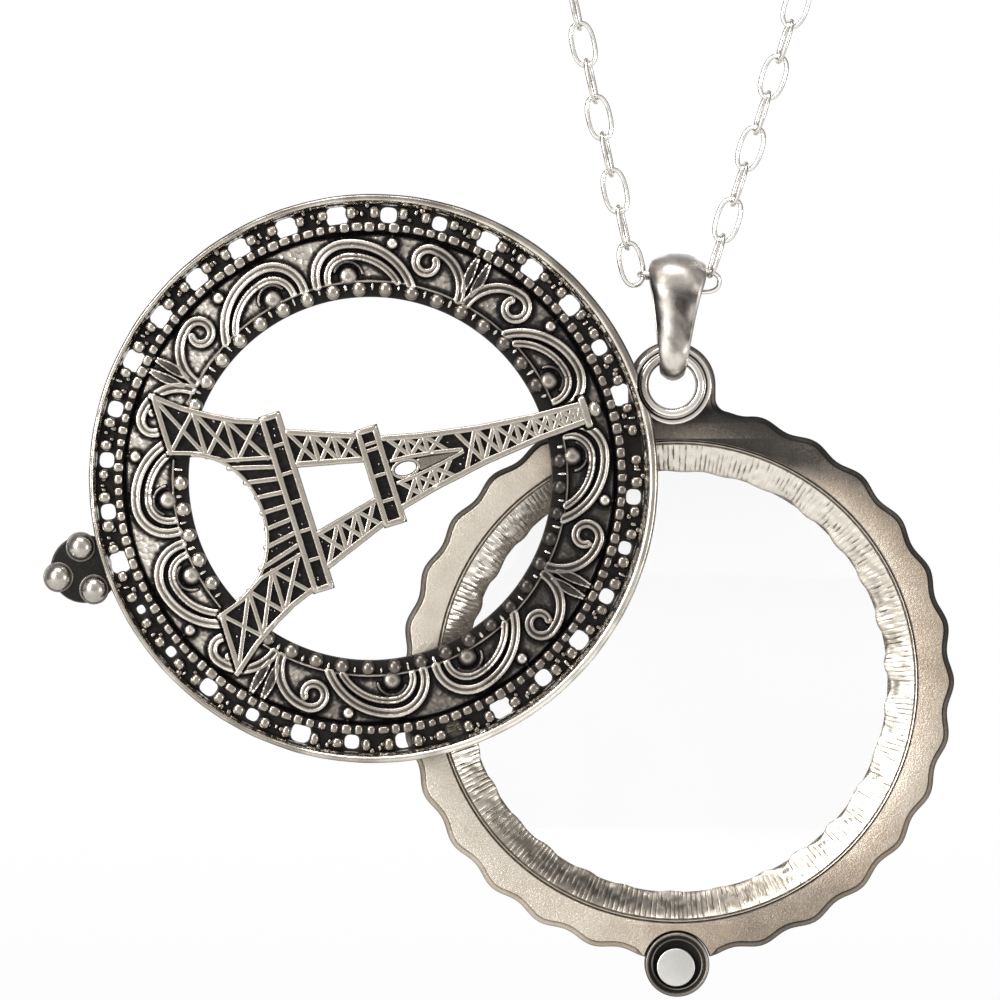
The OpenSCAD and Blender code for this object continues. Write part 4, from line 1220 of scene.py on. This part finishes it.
# Tiny glossy specks in the black panels
speck_chance = np.random.default_rng(61)
tried = np.column_stack([speck_chance.uniform(-12.5, 12.5, 900), speck_chance.uniform(-16.2, 18.5, 900)])
off_bars = np.min([off_path(tried, path)[0] - half for path, half, _ in tower_bars], axis=0)
tried = tried[(off_tower(tried) < -0.3) & (off_bars > 0.1)]
speck_places = np.column_stack([tried, np.full(len(tried), web_z + 0.02)])
beads(tower, speck_places, np.zeros(len(tried)), (0.12, 0.12, 0.12), power=1.0, sides=8, rows=7,
      dark_below=-0.2, kept=0.3, vary=0.35, seed=62)
piece("cover_tower", tower, antique_smooth, "cover", place=opened, crease=60)

# Tab. A round black pad stands out from the rim opposite the pin, and carries three
# polished balls, each in a thin skirt. The keeper disc is set in its back.
tab = Casting()
tab_r = 3.0
tab_at = 26.6
tab_top = 1.35
balls = [(0, -29.0), (-1.95, -26.35), (1.95, -26.35)]
ball_r = 1.2
ball_z = 1.25
pad = circle((0, -tab_at), tab_r, 120)
reach = np.linalg.norm(pad, axis=1, keepdims=True)
pad = np.where(reach < channel_out + 0.3, pad*(channel_out + 0.3)/reach, pad)
plate(tab, [pad], rounded_edge(tab_top, 0.0, 0.2, 0.12),
      edge_tarnish=[1, 1, 0.9, 0.75, 0.6, 0.55, 0.5, 0.5, 0.45, 0.4])
for x, y in balls:
    ring(tab, arc((1.2, tab_top + 0.02), 0.13, 0, 330, 12), (x, y), 72, tarnish=0.7)
beads(tab, [(x, y, ball_z) for x, y in balls], [0]*3, [ball_r]*3, power=1.0, sides=56, rows=33,
      dark_below=-0.42, kept=0.42, vary=0, seed=7)
piece("cover_tab", tab, polished, "cover", place=opened)
keeper = Casting()
disc(keeper, 1.1, -0.03, 0.7, (0, -25.3))
piece("keeper_disc", keeper, nickel, "cover", ["keeper"], opened)

# Cover lug. A flat ring cast on the rim turns around the eyelet, in front of the frame's lug.
cover_lug = Casting()
lug_section = [(2.56, 0.02), (3.42, 0.0), (3.49, 0.06), (3.5, 0.14), (3.5, 0.66),
               *arc((3.3, 0.66), 0.2, 10, 100, 6), (3.12, 0.84), (3.04, 0.74), (2.96, 0.84),
               (2.86, 0.88), (2.6, 0.88), (2.54, 0.8)]
ring(cover_lug, lug_section, (0, cover_reach), 144, [
    0.5, 0.35, 0.4, 0.45, 0.5, 0.35, 0.15, 0.05, 0.0, 0.05, 0.1, 0.45, 1, 0.6, 0.3, 0.7, 1])
from_middle = np.linalg.norm(cover_lug.points[0][:, :2], axis=1)
cover_lug.points[0][:, :2] *= np.maximum(1, (channel_out + 0.05)/from_middle)[:, None]
piece("cover_lug_ring", cover_lug, polished, "cover", ["cover_lug"], opened)


# Bail. A tapered loop of polished silver, cast in one, with a rounded front. It is wider at
# the top, where the chain runs through it, and its foot passes through the eyelet.
bail_low, bail_top = 0.4, 11.6
bail_lean = math.radians(3)
bail_widths = [(0.3, 1.0), (0.6, 1.08), (1.2, 1.16), (3.4, 1.43), (5.5, 1.70), (7.2, 1.98), (9.3, 2.42),
               (10.3, 2.58), (10.9, 2.50), (11.3, 2.3), (11.6, 1.95)]


def egg(low_y, low_r, high_y, high_r, steps):
    """The loop's line seen from the side, as points of (depth, height) from its foot."""
    side = math.degrees(math.asin((high_r - low_r)/(high_y - low_y)))
    low_arc = arc((0, low_y), low_r, -90, -side, steps)
    high_arc = arc((0, high_y), high_r, -side, 90, steps)
    straight = np.linspace(low_arc[-1], high_arc[0], 10)[1:-1]
    half = [*low_arc, *straight, *high_arc]
    return np.array(half + [(-d, y) for d, y in reversed(half[1:-1])])


outer = egg(bail_low + 2.85, 2.85, bail_top - 3.35, 3.35, 22)
inner = egg(bail_low + 3.15, 2.1, bail_top - 3.45, 2.6, 22)
bail_middle = (outer + inner)/2
bail_out = (outer - inner)/2
section_steps = 28
t = turns(section_steps)
across, through = power_of(np.cos(t), 0.72), power_of(np.sin(t), 0.62)
wide = width_at(bail_widths, bail_middle[:, 1])[:, None]
crown = np.where(through > 0, 1 - 0.42*across**2, 1.0)
cup_back = -0.5*across**2*wide/2.5
outward = bail_out/np.linalg.norm(bail_out, axis=1, keepdims=True)
side_x = wide*across
dent = 0.04*waves(side_x*1.3, np.arange(len(bail_middle))[:, None]*0.35, 2.6, 41)
swell = through*crown
depth = bail_middle[:, :1] + bail_out[:, :1]*swell + outward[:, :1]*(cup_back + dent)
tall = bail_middle[:, 1:] + bail_out[:, 1:]*swell + outward[:, 1:]*(cup_back + dent)
leant_x, leant_y = spun(side_x, tall - bail_low, -bail_lean)
bail_points = np.stack([leant_x, leant_y + bail_low, depth], axis=-1)

# Its front carries painted shade in the middle, at the top left and along its left edge, and painted light
# above and below, at the top right and along its right edge, with a painted reflection streak, painted
# highlights and random mottling.
painted_reflection_streak = fades(across + 0.38, 0.24)*np.clip(1 - np.abs(tall - 6.3)/2.0, 0, 1)**0.5
painted_right_highlight = fades(across - 0.25, 0.28)*np.clip(1 - np.abs(tall - 4.6)/1.5, 0, 1)
painted_left_highlight = fades(across + 0.3, 0.35)*np.clip(1 - np.abs(tall - 4.3)/1.3, 0, 1)
painted_top_left_shade = fades(across + 0.35, 0.4)*fades(tall - 9.3, 0.9)
painted_top_right_highlight = fades(across - 0.35, 0.4)*fades(tall - 9.0, 0.9)
mottle = waves(side_x, tall*0.8, 2.6, 43)
spotty = waves(side_x, tall*0.9, 1.0, 44)
painted_front_shade = 0.36 + 0.42*fades(tall - 6.3, 2.9, 4) - 0.26*np.clip((tall - 10)/1.2, 0, 1)
mottle_and_painted_light = (painted_front_shade + 0.18*mottle + 0.12*spotty - 0.62*painted_reflection_streak - 0.42*painted_right_highlight - 0.3*painted_left_highlight
              + 0.3*painted_top_left_shade - 0.35*painted_top_right_highlight + 0.25*(across < -0.8) - 0.5*(across > 0.84)*(tall < 9.5))
bail_mottle_and_painted_light = np.where((through > -0.2) & (depth > 0), np.clip(mottle_and_painted_light, 0, 1), 0.42)
bail = Casting()
bail.add(bail_points, wrap_quads(len(outer), section_steps), tarnish=bail_mottle_and_painted_light.ravel())
bail_silver = silver_finish("bail silver", bright_stops, 0.35, 0.006, 0.26, 0.45, 0.22, 1.6)
piece("bail_loop", bail, bail_silver, "necklace", ["bail"])


# Chain. A cable chain of soldered oval links in bright silver, 76 cm round. It runs up both
# sides from the bail, bends back over the chest and meets the clasp on the nape.
link_l, link_w, link_wire, pitch = 4.2, 2.4, 0.4, 3.3
drawn_wire = 0.41
loop_links = 228
half_angle, loop_lean = 15.0, 2.7
left_pull, right_pull = np.array([-3.4, 9.75]), np.array([3.168, 9.098])
chest_h, shoulder_bend, neck_tilt = 100.0, 70.0, 70.0
end_r = (link_w - link_wire)/2
end_off = (link_l - link_w)/2
long_pull = 2*(pitch - end_off)
left_angle, right_angle = half_angle - loop_lean, half_angle + loop_lean


def heading(angle):
    """One step at an angle in degrees to the right of straight up."""
    return np.array([math.sin(math.radians(angle)), math.cos(math.radians(angle))])


def cross2(p, q):
    """The cross product of two flat directions."""
    return p[0]*q[1] - p[1]*q[0]


left_up, right_up = heading(-left_angle), heading(right_angle)
left_drop = cross2(right_pull - left_pull, right_up)/cross2(left_up, right_up)
right_drop = cross2(left_pull - right_pull, left_up)/cross2(right_up, left_up)
apex = left_pull + left_drop*left_up
path_l = loop_links*pitch
turn_deg = 180 + 2*half_angle
tan_half = math.tan(math.radians(half_angle))
neck_r = (path_l - left_drop - right_drop)/(2/tan_half + math.radians(turn_deg))
neck_mid = apex + neck_r/math.sin(math.radians(half_angle))*heading(loop_lean)
left_l = neck_r/tan_half + left_drop
neck_l = neck_r*math.radians(turn_deg)


def chain_at(along_path):
    """Place in the chain's sheet and heading at a distance along it."""
    if along_path < left_l:
        return left_pull + along_path*left_up, -left_angle
    if along_path < left_l + neck_l:
        turn = math.degrees((along_path - left_l)/neck_r)
        return neck_mid - neck_r*heading(90 - left_angle + turn), turn - left_angle
    return right_pull + (path_l - along_path)*right_up, 180 + right_angle


bend_end = chest_h + shoulder_bend*math.radians(neck_tilt)


def lean_at(s):
    """The sheet's lean back, in radians, at a height along it."""
    return min(max((s - chest_h)/shoulder_bend, 0), math.radians(neck_tilt))


def on_chest(x, s):
    """A place of the sheet, which goes up the chest and bends back to the nape."""
    a, past = lean_at(s), max(0, s - bend_end)
    return np.array([x, shoulder_bend*(1 - math.cos(a)) + past*math.sin(a),
                     min(s, chest_h) + shoulder_bend*math.sin(a) + past*math.cos(a)])


def turned_link(angle, lean, quarter_turn):
    """Turn of a link: a quarter about its length, then its heading, then the chest's lean."""
    a = math.radians(angle)
    q = math.radians(link_tilt + (90 - 2*link_tilt)*quarter_turn)
    about_z = np.array([[math.cos(q), -math.sin(q), 0], [math.sin(q), math.cos(q), 0], [0, 0, 1]])
    about_y = np.array([[math.cos(a), 0, math.sin(a)], [0, 1, 0], [-math.sin(a), 0, math.cos(a)]])
    about_x = np.array([[1, 0, 0], [0, math.cos(lean), math.sin(lean)], [0, -math.sin(lean), math.cos(lean)]])
    return about_x@about_y@about_z


wire_sides = 12
link_tilt = 12
link_a = turns(34)
link_power = 0.8
link_mid = np.stack([end_r*power_of(np.cos(link_a), link_power),
                     (end_off + end_r)*power_of(np.sin(link_a), link_power)], axis=1)
link_out = -inward(link_mid)
wire_a = turns(wire_sides)
wire_r = drawn_wire/2
link_shape = np.stack([
    link_mid[:, :1] + wire_r*link_out[:, :1]*np.cos(wire_a),
    np.broadcast_to(-wire_r*np.sin(wire_a), (len(link_mid), wire_sides)),
    link_mid[:, 1:] + wire_r*link_out[:, 1:]*np.cos(wire_a)], axis=-1).reshape(-1, 3)
link_quads = wrap_quads(len(link_mid), wire_sides)[:, ::-1]
# Painted shade on each link's wire where it faces along the link's own plane, lightest where it faces out of
# it.
link_painted_edge_shade = np.broadcast_to(0.02 + 0.42*np.abs(np.cos(wire_a))**2, (len(link_mid), wire_sides)).ravel()
pin_mm = pin/MM


def add_link(casting, place, angle, quarter_turn):
    """Adds a link at a place of the sheet, turned by a quarter or not."""
    turned = turned_link(angle, lean_at(place[1]), quarter_turn)
    casting.add(link_shape@turned.T + on_chest(*place) + pin_mm, link_quads, tarnish=link_painted_edge_shade)


chain_left, chain_right = Casting(), Casting()
clasp_link = loop_links//2
for i in range(loop_links):
    place, angle = chain_at(end_off + pitch*i)
    if i < clasp_link - 1:
        add_link(chain_left, place, angle, i % 2)
    elif i > clasp_link + 1:
        add_link(chain_right, place, angle, i % 2)
pull = right_pull - left_pull
bail_angle = math.degrees(math.atan2(pull[0], pull[1]))
add_link(chain_right, left_pull + long_pull/2*heading(bail_angle), bail_angle, 1)
add_link(chain_right, right_pull - end_off*heading(bail_angle), bail_angle, 0)
chain_stops = [(0.0, (0.92, 0.90, 0.87)), (0.3, (0.74, 0.715, 0.68)), (0.6, (0.40, 0.385, 0.36)),
               (1.0, (0.05, 0.046, 0.042))]
chain_silver = silver_finish("chain silver", chain_stops, 0.4, 0.003, 0.14, 0.3, 0.04, 3.0)
piece("chain_left_links", chain_left, chain_silver, "necklace", ["chain_left"], as_is)
piece("chain_right_links", chain_right, chain_silver, "necklace", ["chain_right"], as_is)

# Clasp. A plain closed barrel with a ring at each end, turned from the same bright silver.
clasp_mid, clasp_angle = chain_at(end_off + pitch*clasp_link)
ring_out = 2*pitch - end_off - 0.5 - end_r
clasp_r, clasp_round = 1.6, 0.45
barrel_half = ring_out - end_r
clasp_turn = turned_link(clasp_angle, lean_at(clasp_mid[1]), 0)
clasp_at = on_chest(*clasp_mid) + pin_mm
clasp_parts = Casting()
cap_r, cap_level = clasp_r - clasp_round, barrel_half - clasp_round
knob(clasp_parts, [(0, -barrel_half), *arc((cap_r, -cap_level), clasp_round, -90, 0, 6),
                   (clasp_r, -0.6), (clasp_r - 0.12, -0.45), (clasp_r - 0.12, -0.1), (clasp_r, 0.05),
                   *arc((cap_r, cap_level), clasp_round, 0, 90, 6), (0, barrel_half)], (0, 0), 64, 0.05)
for side in (-1, 1):
    end_ring = Casting()
    ring(end_ring, arc((end_r, 0), 0.2, 0, 330, 12), (0, side*ring_out), 48, 0.1)
    clasp_parts.add(end_ring.points[0][:, [0, 2, 1]], end_ring.quads[0][:, ::-1], tarnish=0.1)


def on_nape(points):
    """Points of the clasp at its place on the nape."""
    return as_is(points@clasp_turn.T + clasp_at)


piece("clasp_barrel", clasp_parts, chain_silver, "necklace", ["clasp"], on_nape)
